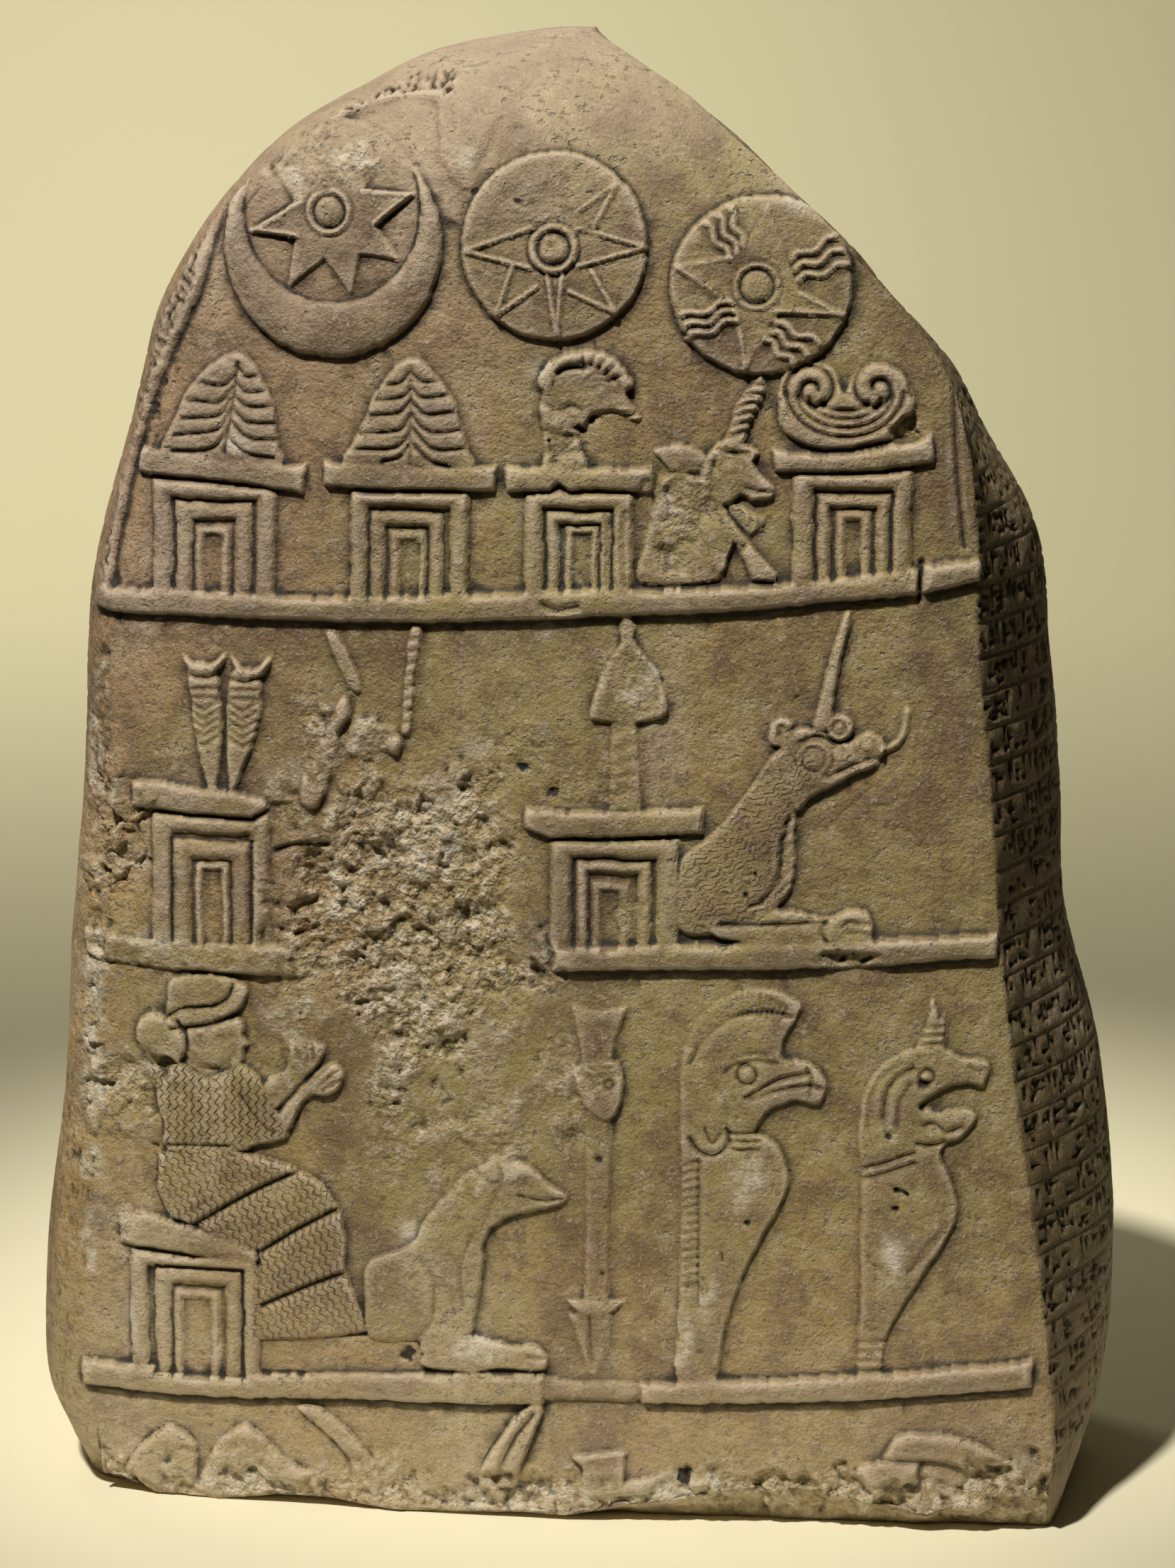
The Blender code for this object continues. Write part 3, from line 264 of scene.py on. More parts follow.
def form(rise, points, shoulder=0.8, swell=0.0, reach=6.0, sharp=False, slant=0.0):
    """Raises a shape to rise, rounded over at the shoulder, and swelling inwards over the reach.

    A slant lowers it towards its left and upper side, where shallow figures melt into the ground.
    """
    outline = np.asarray(points, float) if sharp else smooth(points)
    place, u, v = window(outline)
    deep = depth_inside(outline, u, v) + hand_cut[place]
    body = rise * quarter_round((deep + 0.2) / shoulder) + swell * quarter_round(deep / reach)
    low, high = outline.min(0), outline.max(0)
    along = 0.75 * (u - low[0]) / (high[0] - low[0]) + 0.25 * (high[1] - v) / (high[1] - low[1])
    body = body * (1 - slant * (1 - np.clip(along * 1.4, 0, 1)))
    height[place] = np.maximum(height[place], np.where(deep > -0.2, body, 0))


def ridge(rise, width, points, closed=False, sharp=False):
    """A raised line on what is there: adds a half round whose top is the rise."""
    line = np.asarray(points, float) if sharp else smooth(points, closed)
    place, u, v = window(line)
    gap = line_distance(line, u, v, closed) / width
    height[place] += rise * np.sqrt(np.clip(1 - gap**2, 0, 1))


def groove(depth, width, points, closed=False, sharp=False):
    """An engraved line: takes away a bell-shaped furrow. The depth is what wear leaves of it."""
    line = np.asarray(points, float) if sharp else smooth(points, closed)
    place, u, v = window(line)
    gap = line_distance(line, u, v, closed) / width
    height[place] -= depth / WEAR * np.exp(-(gap**2))


def circle(u, v, radius, radius_v=None, count=24):
    """Points of a circle, or of an ellipse: cosines and sines of evenly spaced turns."""
    turn = np.linspace(0, math.tau, count, endpoint=False)
    return np.stack((u + radius * np.cos(turn), v + (radius_v or radius) * np.sin(turn)), -1)


def arc(u, v, radius, start, end, count=24):
    """Points of an arc from one angle to another, in degrees, anticlockwise if end is larger."""
    turn = np.radians(np.linspace(start, end, count))
    return np.stack((u + radius * np.cos(turn), v + radius * np.sin(turn)), -1)


def boss(u, v, rise, radius=3.4, ring=6.2):
    """The knob in the middle of a star: a dome in a groove, with a raised ring round it."""
    form(rise, circle(u, v, ring), shoulder=0.8)
    groove(1.1, 0.65, circle(u, v, radius + 0.9), closed=True)
    form(rise + 0.1, circle(u, v, radius), shoulder=1.2, swell=0.4, reach=3.0)
    ridge(0.5, 0.8, circle(u, v, ring - 0.9), closed=True)
    groove(0.5, 0.5, circle(u, v, ring + 0.5), closed=True)


form(0.9, circle(-70.5, 348.6, 24.4), shoulder=1.6)
CRESCENT_STAR = [
    (-93.1, 342.9), (-80.2, 341.2), (-82.2, 328.2), (-72.2, 336.2), (-64.8, 326.6), (-62.5, 337.2),
    (-51.2, 335.8), (-58.0, 344.8), (-47.5, 353.4), (-61.6, 354.2), (-57.0, 363.0), (-66.2, 358.0),
    (-71.6, 370.0), (-75.8, 358.2), (-88.0, 361.0), (-80.4, 350.6),
]
form(2.3, CRESCENT_STAR, shoulder=0.6, sharp=True)
for tip, base in ((0, (1, 15)), (8, (7, 9))):
    for side in base:
        start, end = np.array(CRESCENT_STAR[side]), np.array(CRESCENT_STAR[tip])
        groove(0.6, 0.6, [start * 0.8 + end * 0.2, end * 0.9 + start * 0.1], sharp=True)
form(0.9, np.vstack((arc(-70.3, 340.0, 30.2, 140, 400), arc(-70.5, 349.0, 24.6, 391, 149))),
     shoulder=0.8, swell=3.5, reach=7.6, sharp=True)
boss(-70.9, 348.3, 2.6)
for ray in ([(-78.6, 350.4), (-92.6, 343.1), (-79.4, 341.9)],
            [(-61.6, 353.6), (-48.2, 353.2), (-58.4, 345.6)]):
    ridge(1.1, 0.8, ray, sharp=True)

# The star disc: a flat round plate that carries an eight-pointed star, drawn as raised outlines
# with a ringed boss in the middle.
form(2.6, circle(-10.0, 340.0, 24.8, count=48), shoulder=1.5)
STAR_RAYS = [
    [(-3.6, 345.0), (14.6, 340.0), (-3.6, 335.0)], [(-4.4, 348.6), (6.8, 356.6), (0.6, 345.2)],
    [(-15.4, 345.0), (-34.2, 338.6), (-16.0, 334.4)], [(-20.9, 334.6), (-25.3, 321.8), (-14.2, 329.6)],
    [(-11.6, 332.6), (-9.0, 316.4), (-7.6, 332.8)], [(-5.6, 328.4), (6.8, 322.7), (0.2, 333.6)],
    [(-13.6, 348.0), (-10.0, 360.0), (-6.4, 348.2)], [(-19.4, 346.2), (-26.0, 355.6), (-15.4, 350.0)],
]
for index, ray in enumerate(STAR_RAYS):
    groove(0.6, 1.0, ray, sharp=True)
    ridge(1.9 if index < 6 else 0.6, 0.75, ray, sharp=True)
boss(-10.0, 339.4, 3.4, ring=6.6)

# The sun disc: a third round plate, with a boss in the middle, four pointed rays that stand above
# the plate and, between them, four bundles of wavy flames.
form(2.6, circle(44.8, 330.3, 24.0, 23.4, count=48), shoulder=1.5)
SUN_RAYS = [
    (22.0, 334.6), (35.4, 327.4), (38.4, 321.6), (40.9, 307.8), (46.4, 318.6), (50.0, 323.2), (67.0, 322.3),
    (54.6, 328.8), (51.0, 338.6), (46.0, 352.0), (40.8, 340.6), (36.2, 337.0),
]
form(3.4, SUN_RAYS, shoulder=0.5, sharp=True)
for ray in ([(35.7, 337.2), (22.2, 335.0), (34.3, 327.2)], [(55.3, 328.1), (66.8, 322.5), (48.8, 323.4)],
            [(38.6, 322.4), (40.9, 308.2), (46.5, 317.9)]):
    ridge(0.9, 0.75, ray, sharp=True)


def flames(first, second, count=3):
    """Wavy ridges side by side between two guide lines, each guide given by its two ends."""
    share = np.linspace(0, 1, 25)[:, None]
    for place in np.linspace(0, 1, count):
        start = np.array(first[0]) * (1 - place) + np.array(second[0]) * place
        end = np.array(first[1]) * (1 - place) + np.array(second[1]) * place
        along = (end - start) / np.linalg.norm(end - start)
        beside = np.array((-along[1], along[0]))
        wave = start + (end - start) * share + beside * 0.8 * np.sin(share * 3.1 * math.pi)
        ridge(1.5, 0.9, wave, sharp=True)


flames(((23.4, 321.6), (37.4, 325.9)), ((25.5, 316.2), (38.4, 321.2)))
flames(((52.6, 336.8), (64.2, 342.8)), ((54.6, 331.6), (67.2, 335.6)))
flames(((29.8, 346.2), (36.6, 337.2)), ((36.0, 350.4), (40.0, 340.6)))
flames(((49.0, 320.4), (60.6, 315.2)), ((46.4, 316.0), (54.0, 309.6)))
boss(43.7, 329.8, 3.4, radius=3.7, ring=6.2)

# Six altars and, later, the seat of the goddess: a slab on a block whose front steps back in frames
# within frames, like a doorway. Each frame is a rounded bar, cut free of the next by a dark joint.
FRAME_STEP, JOINT = 0.65, 2.2


def altar(slab, frames, rise=2.7, slab_rise=3.2):
    """A slab over nested door frames. A frame is its left, right, top and bottom.

    Each frame lies one step lower than the last, and is half round across: the root of the sine of
    the distance from its outer edge, as a share of its width. The innermost is a narrow niche.
    """
    for index, (left, right, top, bottom) in enumerate(frames):
        place, u, v = window(np.array([(left, bottom), (right, top)], float))
        inside = np.minimum(np.minimum(u - left, right - u), top - v) + 1.3 * hand_cut[place]
        inside = np.where(v > bottom - 1, inside, -1)
        last = index == len(frames) - 1
        bar = (right - left) / 2 if last else 0.5 * (frames[index + 1][0] - left + top - frames[index + 1][2])
        share = np.sqrt(np.sin(math.pi * np.clip((inside - 0.35) / (bar - 0.7), 0, 1)))
        level = rise - FRAME_STEP * index - (JOINT + 0.8 if last else JOINT * (1 - share))
        body = height[place]
        height[place] = np.where(inside > 0, level if index else np.maximum(body, level), body)
    lower = [(u, v - 0.3) for u, v in slab if v < np.mean(np.array(slab)[:, 1])]
    groove(1.5, 0.6, sorted(lower), sharp=True)
    form(slab_rise - 1.6, slab, shoulder=0.6, swell=1.6, reach=3.2, sharp=True)


altar([(-125, 278), (-101, 276.2), (-78.2, 273.6), (-77.4, 281.3), (-100, 281.9), (-117, 284.2),
       (-124.2, 285)],
      [(-120.4, -85.6, 276.5, 246), (-114.4, -92, 270.8, 246), (-109.1, -97.9, 264.6, 246),
       (-105.6, -101.4, 260.3, 246)])
altar([(-72.4, 275.8), (-60, 274.9), (-25.4, 275.2), (-25.2, 281.9), (-45, 281.2), (-72.2, 282.2)],
      [(-65.3, -32.3, 275.6, 247), (-60, -39, 269.6, 247), (-55, -43.6, 264.9, 247), (-51, -46, 260.4, 247)])
altar([(-22.6, 275), (-11, 275.4), (-8.2, 277.4), (-5.2, 275.5), (2, 276.2), (16.9, 275.6), (16.9, 282.7),
       (0, 281.8), (-22.8, 281.9)],
      [(-17.8, 11.9, 276.4, 249.5), (-12, 6.4, 270.6, 249.5), (-7, 3, 266.8, 249.5),
       (-3.9, -1.9, 263.6, 249.5)])
for stretch in ([(4.4, 251), (4.8, 268)], [(9.4, 251), (8.6, 262), (9.4, 270)]):
    groove(0.7, 0.8, stretch)
altar([(49, 281.3), (63.2, 281.3), (77.6, 282), (91.2, 284.3), (90.2, 291.6), (82.4, 289.4), (70, 287),
       (60.3, 286.3), (48.3, 287.6)],
      [(53.8, 85.6, 282.6, 253), (59.8, 80.3, 276.2, 253), (65.1, 75.2, 271.8, 253), (68.5, 72, 267.2, 253)])
altar([(-127, 186.4), (-111.5, 185.4), (-92.4, 184.6), (-88, 188), (-90, 190.6), (-100.7, 192.2),
       (-111.5, 192.8), (-119.7, 194.3), (-126.7, 193.7)],
      [(-121.4, -87.2, 186, 148), (-115.7, -92.5, 178.4, 148), (-109.3, -98.5, 172.6, 148),
       (-105.5, -102, 169.9, 148)],
      rise=2.6, slab_rise=3.1)
altar([(-17.2, 184.7), (-9.8, 182.2), (8.6, 182.7), (20, 183.7), (31.4, 184.5), (31, 191.5), (18.8, 190.8),
       (8.6, 189.9), (-5, 189.9), (-17.2, 190.8)],
      [(-10.4, 25.2, 183.4, 152), (-3.3, 17.8, 176.9, 152), (0.3, 12.5, 171.6, 152), (4.9, 8.8, 167.5, 152)],
      rise=2.5, slab_rise=3.1)

# The two horned crowns on the first altars: tall rounded caps, cut with arcs that hang like plaits
# on both sides of a middle seam.
form(1.3, [(-116.2, 282.6), (-115.2, 290), (-113.5, 293.8), (-112, 298), (-109.2, 302), (-106.7, 305),
           (-103.3, 307.9), (-100, 309.8), (-96.6, 311), (-93.6, 309.8), (-91.4, 307.2), (-89.8, 303.3),
           (-87.5, 299.2), (-86.2, 295), (-85.7, 289.6), (-85, 285.7), (-86, 281)], swell=1.6, reach=9)
form(1.3, [(-64.6, 281.4), (-64.4, 286.7), (-62.5, 291.6), (-60.2, 295), (-59.1, 298.9), (-56.4, 302.4),
           (-54.3, 305.8), (-51.8, 308.6), (-48.9, 310), (-46, 309.8), (-43.4, 307.6), (-40.6, 304.7),
           (-38.6, 301.8), (-36.4, 298.9), (-35.7, 295), (-34.2, 290.1), (-33.2, 285.7), (-33.6, 281.2)],
     swell=1.6, reach=9)
PLAITS = [
    [(-96.6, 305), (-99.4, 302), (-102.8, 301.6), (-107, 302.6)],
    [(-97.7, 301.3), (-100.6, 297.6), (-103.8, 297), (-110.4, 297.6)],
    [(-98.4, 298.2), (-100.6, 294.2), (-104.2, 293), (-112.2, 292.5)],
    [(-98.4, 295), (-101, 290.4), (-105, 289), (-114, 288)],
    [(-98.9, 290.6), (-102, 285.6), (-106.7, 284), (-114.6, 283.8)],
    [(-96, 306.7), (-94, 304.2), (-91, 304.4)],
    [(-96.7, 302.6), (-93.6, 300.1), (-88.9, 300.4)], [(-97.2, 299), (-93.1, 296.2), (-87, 296.4)],
    [(-97.9, 296.2), (-93.6, 292.1), (-86.2, 291.8)], [(-98.2, 292.4), (-93.1, 287.9), (-85.8, 287.4)],
    [(-98.4, 287.4), (-93.1, 283.4), (-86.2, 282.6)], [(-96.2, 308), (-97, 301), (-98.4, 292), (-100, 283.6)],
    [(-48.6, 306.4), (-51, 303.6), (-54.6, 302.8)], [(-48.4, 302), (-50.9, 299.6), (-57.6, 298.8)],
    [(-48.2, 298.9), (-51.8, 295.4), (-59.6, 294.6)],
    [(-48.4, 295), (-50.9, 291.2), (-55.2, 290.2), (-62.4, 290)],
    [(-48.4, 290.8), (-51, 287), (-55, 285.7), (-63.4, 285.6)], [(-48.8, 287), (-51.4, 283.6), (-56, 282.4)],
    [(-48, 306.2), (-45, 303.8), (-41.2, 304.2)], [(-47.9, 302), (-45, 299.6), (-38.4, 300.4)],
    [(-47.9, 298.7), (-44.1, 295.2), (-36.8, 296)], [(-47.9, 295), (-45, 291.6), (-41.6, 290.4), (-35, 291)],
    [(-47.6, 291.4), (-43.1, 286.6), (-39.2, 285.7), (-33.8, 286.4)],
    [(-47.5, 287.2), (-43, 282.8), (-38, 281.4)],
    [(-48.3, 308), (-48.2, 296), (-48.5, 282)],
]
cut = np.zeros(height.shape)
for plait in PLAITS:
    line = smooth(plait, closed=False)
    place, u, v = window(line)
    deep = 1.5 if len(plait) > 3 or plait[0][1] < 307 else 0.8
    cut[place] = np.maximum(cut[place], deep * np.exp(-((line_distance(line, u, v) / 0.5) ** 2)))
height -= cut

# The ram-headed staff on the third altar: a short neck, a thick ribbed horn that curls over the
# head, an eye under ringed brows and a blunt muzzle that looks right.
form(1.8, [(-11.7, 281.4), (-12.2, 285), (-12.5, 289.7), (-13.5, 296.8), (-12.9, 301.5), (-13.5, 306.2),
           (-11.1, 310.1), (-7.1, 312.2), (-2.2, 313.4), (3.3, 312.4), (8.1, 309.3), (11.3, 304.6),
           (9.6, 301.4), (11.4, 298.4), (13.6, 296.2), (12.4, 294.6), (6, 295.4), (1, 295.2), (-3, 291.3),
           (-2.2, 287), (-1.2, 281.6)], swell=0.9, reach=5)
form(2.9, [(-13.6, 303), (-13, 307.6), (-9.4, 310.8), (-4, 312.6), (1, 313), (6, 311.2), (10, 307),
           (11.4, 303.6), (9, 302.8), (7, 305.6), (3.4, 308.2), (-1, 309.6), (-4.6, 309.2), (-8, 307.6),
           (-10.4, 302.6)], shoulder=0.9, swell=0.5, reach=2)
for turn in (98, 80, 62, 44, 26):
    rib = np.array((math.cos(math.radians(turn)), math.sin(math.radians(turn))))
    groove(0.9, 0.55, [(-1, 302) + rib * 6.6, (-0.4, 302) + rib * 12.2], sharp=True)
form(2.6, [(-8.6, 305.4), (-4.6, 306.4), (0, 305.8), (1, 304.4), (-2.6, 303.2), (-6.6, 302.6)], shoulder=0.9)
groove(1.2, 0.7, [(-8.6, 306.8), (-6.3, 308.0), (-1.4, 308.4)])
for brow in (2.5, 3.9, 5.3):
    groove(0.55, 0.45, arc(2.8, 301.3, brow, 10, 165))
form(2.8, circle(2.8, 301.2, 1.6), shoulder=0.9)
form(2.4, [(-8.4, 300.4), (-5.4, 301.6), (-3, 299.4), (-5, 296.4), (-7.8, 297.2)], shoulder=0.9)
groove(0.6, 0.5, [(9, 299), (11.6, 297.6)], sharp=True)
groove(0.9, 0.8, [(-13, 299.4), (-9, 296.6), (-5, 298.2), (-2.4, 297)])
groove(1.4, 0.9, [(-1, 291.6), (1, 295), (5, 296.4), (9, 295.8), (13.2, 296.4)])
groove(0.9, 0.9, [(-12.6, 292), (-9, 290.2), (-3.4, 290.2)])
groove(0.7, 0.8, [(-11.6, 286), (-7, 285.4), (-3, 286.4)])

# The goat-fish that crouches between the altars. Its head and forelegs are still crisp, but its
# body and fish tail are broken away to a rough swelling.
form(1.1, [(14, 251.5), (33, 252.2), (35.5, 256), (33.6, 260), (38, 264), (36, 272), (31.5, 277), (24, 281.2),
           (19, 278), (17, 271), (15, 262)], swell=0.8, reach=6)
form(1.8, [(16.8, 286.8), (21, 288.2), (27, 287.6), (31.4, 285), (30.6, 281.8), (22.4, 281.4), (18.6, 284.4)])
form(1.9, [(31.8, 272.4), (29.6, 279), (31, 285.2), (35.6, 289.6), (40.6, 289.2), (45.2, 286.8), (43.6, 284),
           (45.8, 280.4), (49, 277.6), (48.6, 274.8), (43.2, 273.8), (40.4, 275.2), (37.4, 273)], swell=0.8,
     reach=4)
form(2.5, [(35.2, 288.4), (37.6, 294), (38.4, 298), (40.6, 301.4), (43.2, 304.4), (45.4, 306.6),
           (46.2, 303.4), (44.6, 298.6), (42.8, 295), (41.6, 290.8), (39.8, 287)], shoulder=1.3)
for low in np.arange(290.6, 304.5, 2.5):
    groove(0.9, 0.6, [(35.6 + (low - 291) * 0.34, low - 0.4), (40.5 + (low - 291) * 0.2, low + 1.2),
                      (45.8, low + 1.0)])
form(1.6, [(36.2, 273.6), (47.4, 268.8), (45, 266), (43, 264.6), (38.4, 269.2)], sharp=True)
for shift in np.arange(0.0, 7.5, 1.9):
    groove(0.6, 0.5, [(37.6 + shift * 1.35, 272.6 - shift * 0.55), (39.4 + shift, 268.2 - shift * 0.5)],
           sharp=True)
form(2.2, [(34.4, 272.4), (39.8, 266.2), (45, 260), (50, 254.8), (49.6, 252), (43.2, 252.6), (41.8, 257.2),
           (38.8, 262), (33, 266)], shoulder=1.0, sharp=True)
form(2.4, [(38.6, 263), (37.2, 258.6), (36.2, 255.2), (34, 254.8), (32.4, 258), (31.4, 264), (34.6, 267.4)],
     shoulder=1.0)
groove(1.0, 0.8, [(41.6, 262), (38.4, 257.6), (38.6, 253.6)])
form(3.0, circle(37.2, 282.4, 1.5), shoulder=0.8)
for brow in (2.6, 4.0):
    groove(0.5, 0.5, arc(37.2, 282.2, brow, 15, 175))
groove(0.8, 0.6, [(49, 276), (45, 276.2), (41.8, 277)])
groove(0.8, 0.6, [(34.4, 287.2), (38, 286.4), (42.4, 286.2)])
groove(0.6, 0.6, [(33, 284), (32.6, 279.4), (35, 275.4)])

# The double spiral on the fourth altar: a band of stone that hangs in nested bows and coils up at
# both ends. The bows and coils are cut as lines into one raised shape.
form(1.7, [(50.4, 304.6), (50.4, 294.4), (53.6, 290.6), (58.4, 288.2), (65, 287.6), (73, 288.6), (82, 291.6),
           (84.8, 296), (85.4, 302.6), (82, 308.4), (76, 310.6), (70.6, 308.4), (67, 302.6), (64, 308.4),
           (58.4, 310), (53, 308.6)],
     swell=1.0, reach=4)
for centre, start, turns, size in (((59.0, 302.9), 190, -1.5, 7.6), ((75.8, 303.4), -10, 1.5, 8.8)):
    turn = np.linspace(0, 1, 48)
    angle = math.radians(start) + math.tau * turns * turn
    reach = 1.3 + (size - 1.3) * (1 - turn) ** 1.1
    groove(1.3, 0.72, np.stack((centre[0] + reach * np.cos(angle), centre[1] + reach * np.sin(angle)), -1),
           sharp=True)
for half_width, low, high in ((15.4, 290.6, 303), (12.6, 293.0, 302), (9.4, 295.3, 301), (6.0, 297.5, 300)):
    bow = np.linspace(183, 357, 22)
    groove(1.05, 0.65, np.stack((67.4 + half_width * np.cos(np.radians(bow)),
                                 high + (high - low) * np.sin(np.radians(bow))), -1), sharp=True)

# The three ledges that the rows of signs stand on: raised bands that cross the whole face. The
# first has a cut near its right end, the second was broken through by the great damage, and the
# third is worn low in the middle.


def ledge(stations, rise):
    """A raised band. Stations are u, lower edge and upper edge, joined by smooth curves."""
    rows = smooth(stations, closed=False)
    outline = np.vstack((rows[:, (0, 1)], rows[::-1][:, (0, 2)]))
    form(rise - 0.9, outline, shoulder=0.5, swell=1.9, reach=3.4, sharp=True)


ledge([(-139, 240.6, 247.2), (-120, 239.6, 246.6), (-90, 239.2, 246.2), (-60, 239.2, 246.3),
       (-30, 240.2, 248.2), (0, 242.2, 249.6), (30, 243.6, 250.6), (60, 246.4, 252.8), (87.6, 249.4, 256.3)],
      2.7)
ledge([(88.4, 249.6, 257.4), (96, 251.2, 258.6), (104, 253.0, 259.6)], 2.9)
ledge([(-142, 144.2, 151.6), (-122, 142.2, 149.6), (-104, 141.8, 149.4), (-86, 141.4, 150),
       (-70, 142.4, 147.2)], 2.3)
ledge([(-9, 146.0, 152.4), (20, 147.0, 154.0), (50, 147.9, 155.2), (80, 149.6, 157), (110, 152.2, 158.6)],
      2.7)
ledge([(-142, 23.0, 30.4), (-120, 22.0, 29.8), (-100, 21.8, 29.6), (-72, 23.4, 30.6), (-40, 24.2, 32.8),
       (-11, 25.4, 33.8)], 2.5)
ledge([(-12, 26.2, 33), (2, 27.0, 32.4), (18, 27.2, 32.4)], 1.1)
ledge([(16, 26.6, 32.8), (45, 27.8, 34.8), (80, 30.0, 37.4), (104, 32.2, 40), (122, 34.2, 42.2)], 2.5)
groove(1.0, 1.1, [(-12, 245), (-8, 243.8), (-3, 244.8)])

# Two reed styluses on the fifth altar: wedges with little crescent tops, bound with bands and cut
# with chevrons.
form(2.2, [(-112.2, 228.8), (-109.6, 227), (-106.4, 226.2), (-102.6, 227.6), (-99.7, 230), (-100.8, 226.2),
           (-103.9, 224), (-107, 223.4), (-109.8, 224.4)], swell=0.6, reach=2)
form(2.2, [(-98.3, 228.8), (-95.7, 226.3), (-93.1, 225.6), (-90, 226.8), (-87.2, 228.9), (-88.7, 224.9),
           (-92, 222.6), (-96, 223.6)], swell=0.6, reach=2)
form(1.4, [(-109.8, 226), (-103, 226), (-101.4, 217), (-101.2, 209), (-101.8, 200), (-102.8, 192),
           (-105, 192), (-107.4, 202), (-109.4, 210), (-109.8, 217)], swell=1.1, reach=3.6)
form(1.5, [(-97.6, 225), (-91, 225), (-90, 217), (-91.2, 209), (-93.6, 201.6), (-98, 192), (-99.4, 196),
           (-99.6, 206), (-99.4, 216)], swell=1.1, reach=3.6)


def rungs(depth, width, levels, points, sharp=True):
    """Like cuts one above another: the same line at each level, its points given from that level."""
    for level in levels:
        groove(depth, width, [(u, level + v) for u, v in points], sharp=sharp)


for centre, top in ((-105.6, 223.4), (-94.6, 222.6)):
    groove(0.9, 0.6, [(centre - 4, top), (centre, top - 0.8), (centre + 4, top + 0.4)])
    rungs(0.6, 0.55, (219.6, 217.2), [(centre - 4, 0), (centre + 4, 0.2)])
    chevron = [(centre - 4, 1.0), (centre - 0.4, -1.4), (centre + 3.6, 1.4)]
    rungs(0.7, 0.5, np.arange(205.4, 216.0, 2.4), chevron)

# What is left of the horned dragon in the second row: two horns, and rough lumps of its neck and
# head that run into the great break.
form(1.7, [(-51, 209), (-49.8, 225), (-48.6, 235), (-47.8, 239), (-45.6, 239), (-45.8, 235), (-47.4, 225),
           (-48.4, 209)], shoulder=0.7, sharp=True)
rungs(0.6, 0.6, np.arange(212.0, 236.0, 3.2), [(-51, 0), (-46, 1.2)])
form(1.6, [(-71.6, 235.4), (-69, 235.6), (-65, 229), (-62, 221.6), (-64.6, 220.6), (-68, 226.6)])
groove(0.5, 0.6, [(-72.4, 234), (-68.4, 226), (-65.4, 220.6)])
LUMPS = [
    [(-67, 219), (-65, 214), (-68.4, 208.5), (-69.8, 200.5), (-73.9, 188.6), (-79.2, 189.8), (-77.2, 199),
     (-72.5, 209.8)],
    [(-65.1, 209.9), (-60.4, 213), (-55, 211), (-50.8, 207.6), (-52, 203.4), (-56, 204.4), (-60.4, 202.6),
     (-65.9, 203.9)],
]
for lump in LUMPS:
    form(2.6, lump, shoulder=1.8, swell=0.6, reach=4)

# The spade on the sixth altar: a pointed blade that widens like a bell, set point up on a flat
# shaft, which is cut with slanting lines between two edge lines.
form(1.9, [(9.8, 244), (12.2, 240), (12.4, 235.6), (15.4, 231.8), (18.6, 227), (20.4, 221.6), (21.2, 216.6),
           (15, 214.4), (9, 213.8), (3, 214.4), (0.4, 215.6), (1.2, 220.4), (3.4, 226), (6, 231.2),
           (8.4, 235.2), (8.6, 240)],
     swell=0.8, reach=5)
form(1.2, [(5.6, 190), (6.4, 214), (13.3, 214), (14.8, 190)], shoulder=1.2, swell=0.4, reach=3, sharp=True)
for shaft_side in ([(5.6, 191), (6.2, 213)], [(14.8, 191), (13.4, 213)]):
    groove(0.5, 0.5, shaft_side, sharp=True)
rungs(0.4, 0.6, np.arange(194.0, 211.0, 4.2), [(7, 0), (13, 2.2)])

# The horned dragon that lies before the sixth altar: a scaly neck with a smooth throat, a ringed
# eye, a curled ear, a tongue that flicks up, one straight horn with the faint line of another, and
# a paw stretched along the ledge.
DRAGON_BODY = [
    (25.2, 158.6), (25.2, 176), (31, 181.8), (37, 188), (42.6, 195.4), (46.6, 201.6), (50, 206), (55, 209),
    (62, 203), (60, 195), (56.2, 190.6), (55.8, 184), (56.2, 176), (55, 170), (52, 165), (46, 160.4),
    (35, 157.4),
]
form(1.2, DRAGON_BODY, swell=1.3, reach=8)
form(2.2, [(52.6, 190.6), (55.8, 190.4), (55.6, 184), (56, 176), (54.8, 170), (50.6, 165.2), (46.6, 165),
           (50.6, 171), (52, 178)], shoulder=1.0)
groove(0.9, 0.7, [(54.6, 190), (52.6, 182), (51.6, 173), (47.6, 166.6), (44, 165)])
rungs(0.5, 0.5, np.arange(170.0, 190.0, 3.4), [(52, -0.6), (55.6, 2.4)])
form(2.1, [(34.2, 159.6), (45, 161), (52, 164.6), (60, 163), (65.4, 162.6), (71, 165), (75.4, 163.8),
           (77, 158.6), (74.4, 155.6), (61.4, 154.6), (45, 155), (36, 156.2)], swell=0.6, reach=3)
groove(0.9, 0.7, [(36.4, 159.7), (48, 160), (58, 160.6), (64.6, 161)])
groove(0.7, 0.6, [(68.6, 160), (71, 161.2), (76.4, 160.6)])
groove(0.6, 0.6, [(70, 158.4), (73.6, 158.4), (76.4, 157.8)])
groove(0.8, 0.7, [(64.6, 161.6), (63.4, 158.4), (65, 155.6)])
form(1.9, [(49, 203), (52, 208), (55, 210.6), (58.6, 212.6), (63, 212), (66, 209.4), (70, 209.8),
           (72.6, 211.8), (76, 212.6), (79, 210), (79, 206.4), (76.4, 203.4), (71, 201), (65.6, 197.8),
           (60, 194.6), (56, 191), (52, 196)],
     swell=1.1, reach=5)
for ring, start, end in ((3.2, 0, 360), (5.0, -60, 200), (6.4, 30, 160)):
    groove(0.75, 0.55, arc(60.7, 205.0, ring, start, end))
form(3.1, circle(60.7, 205.0, 1.9), shoulder=0.9)
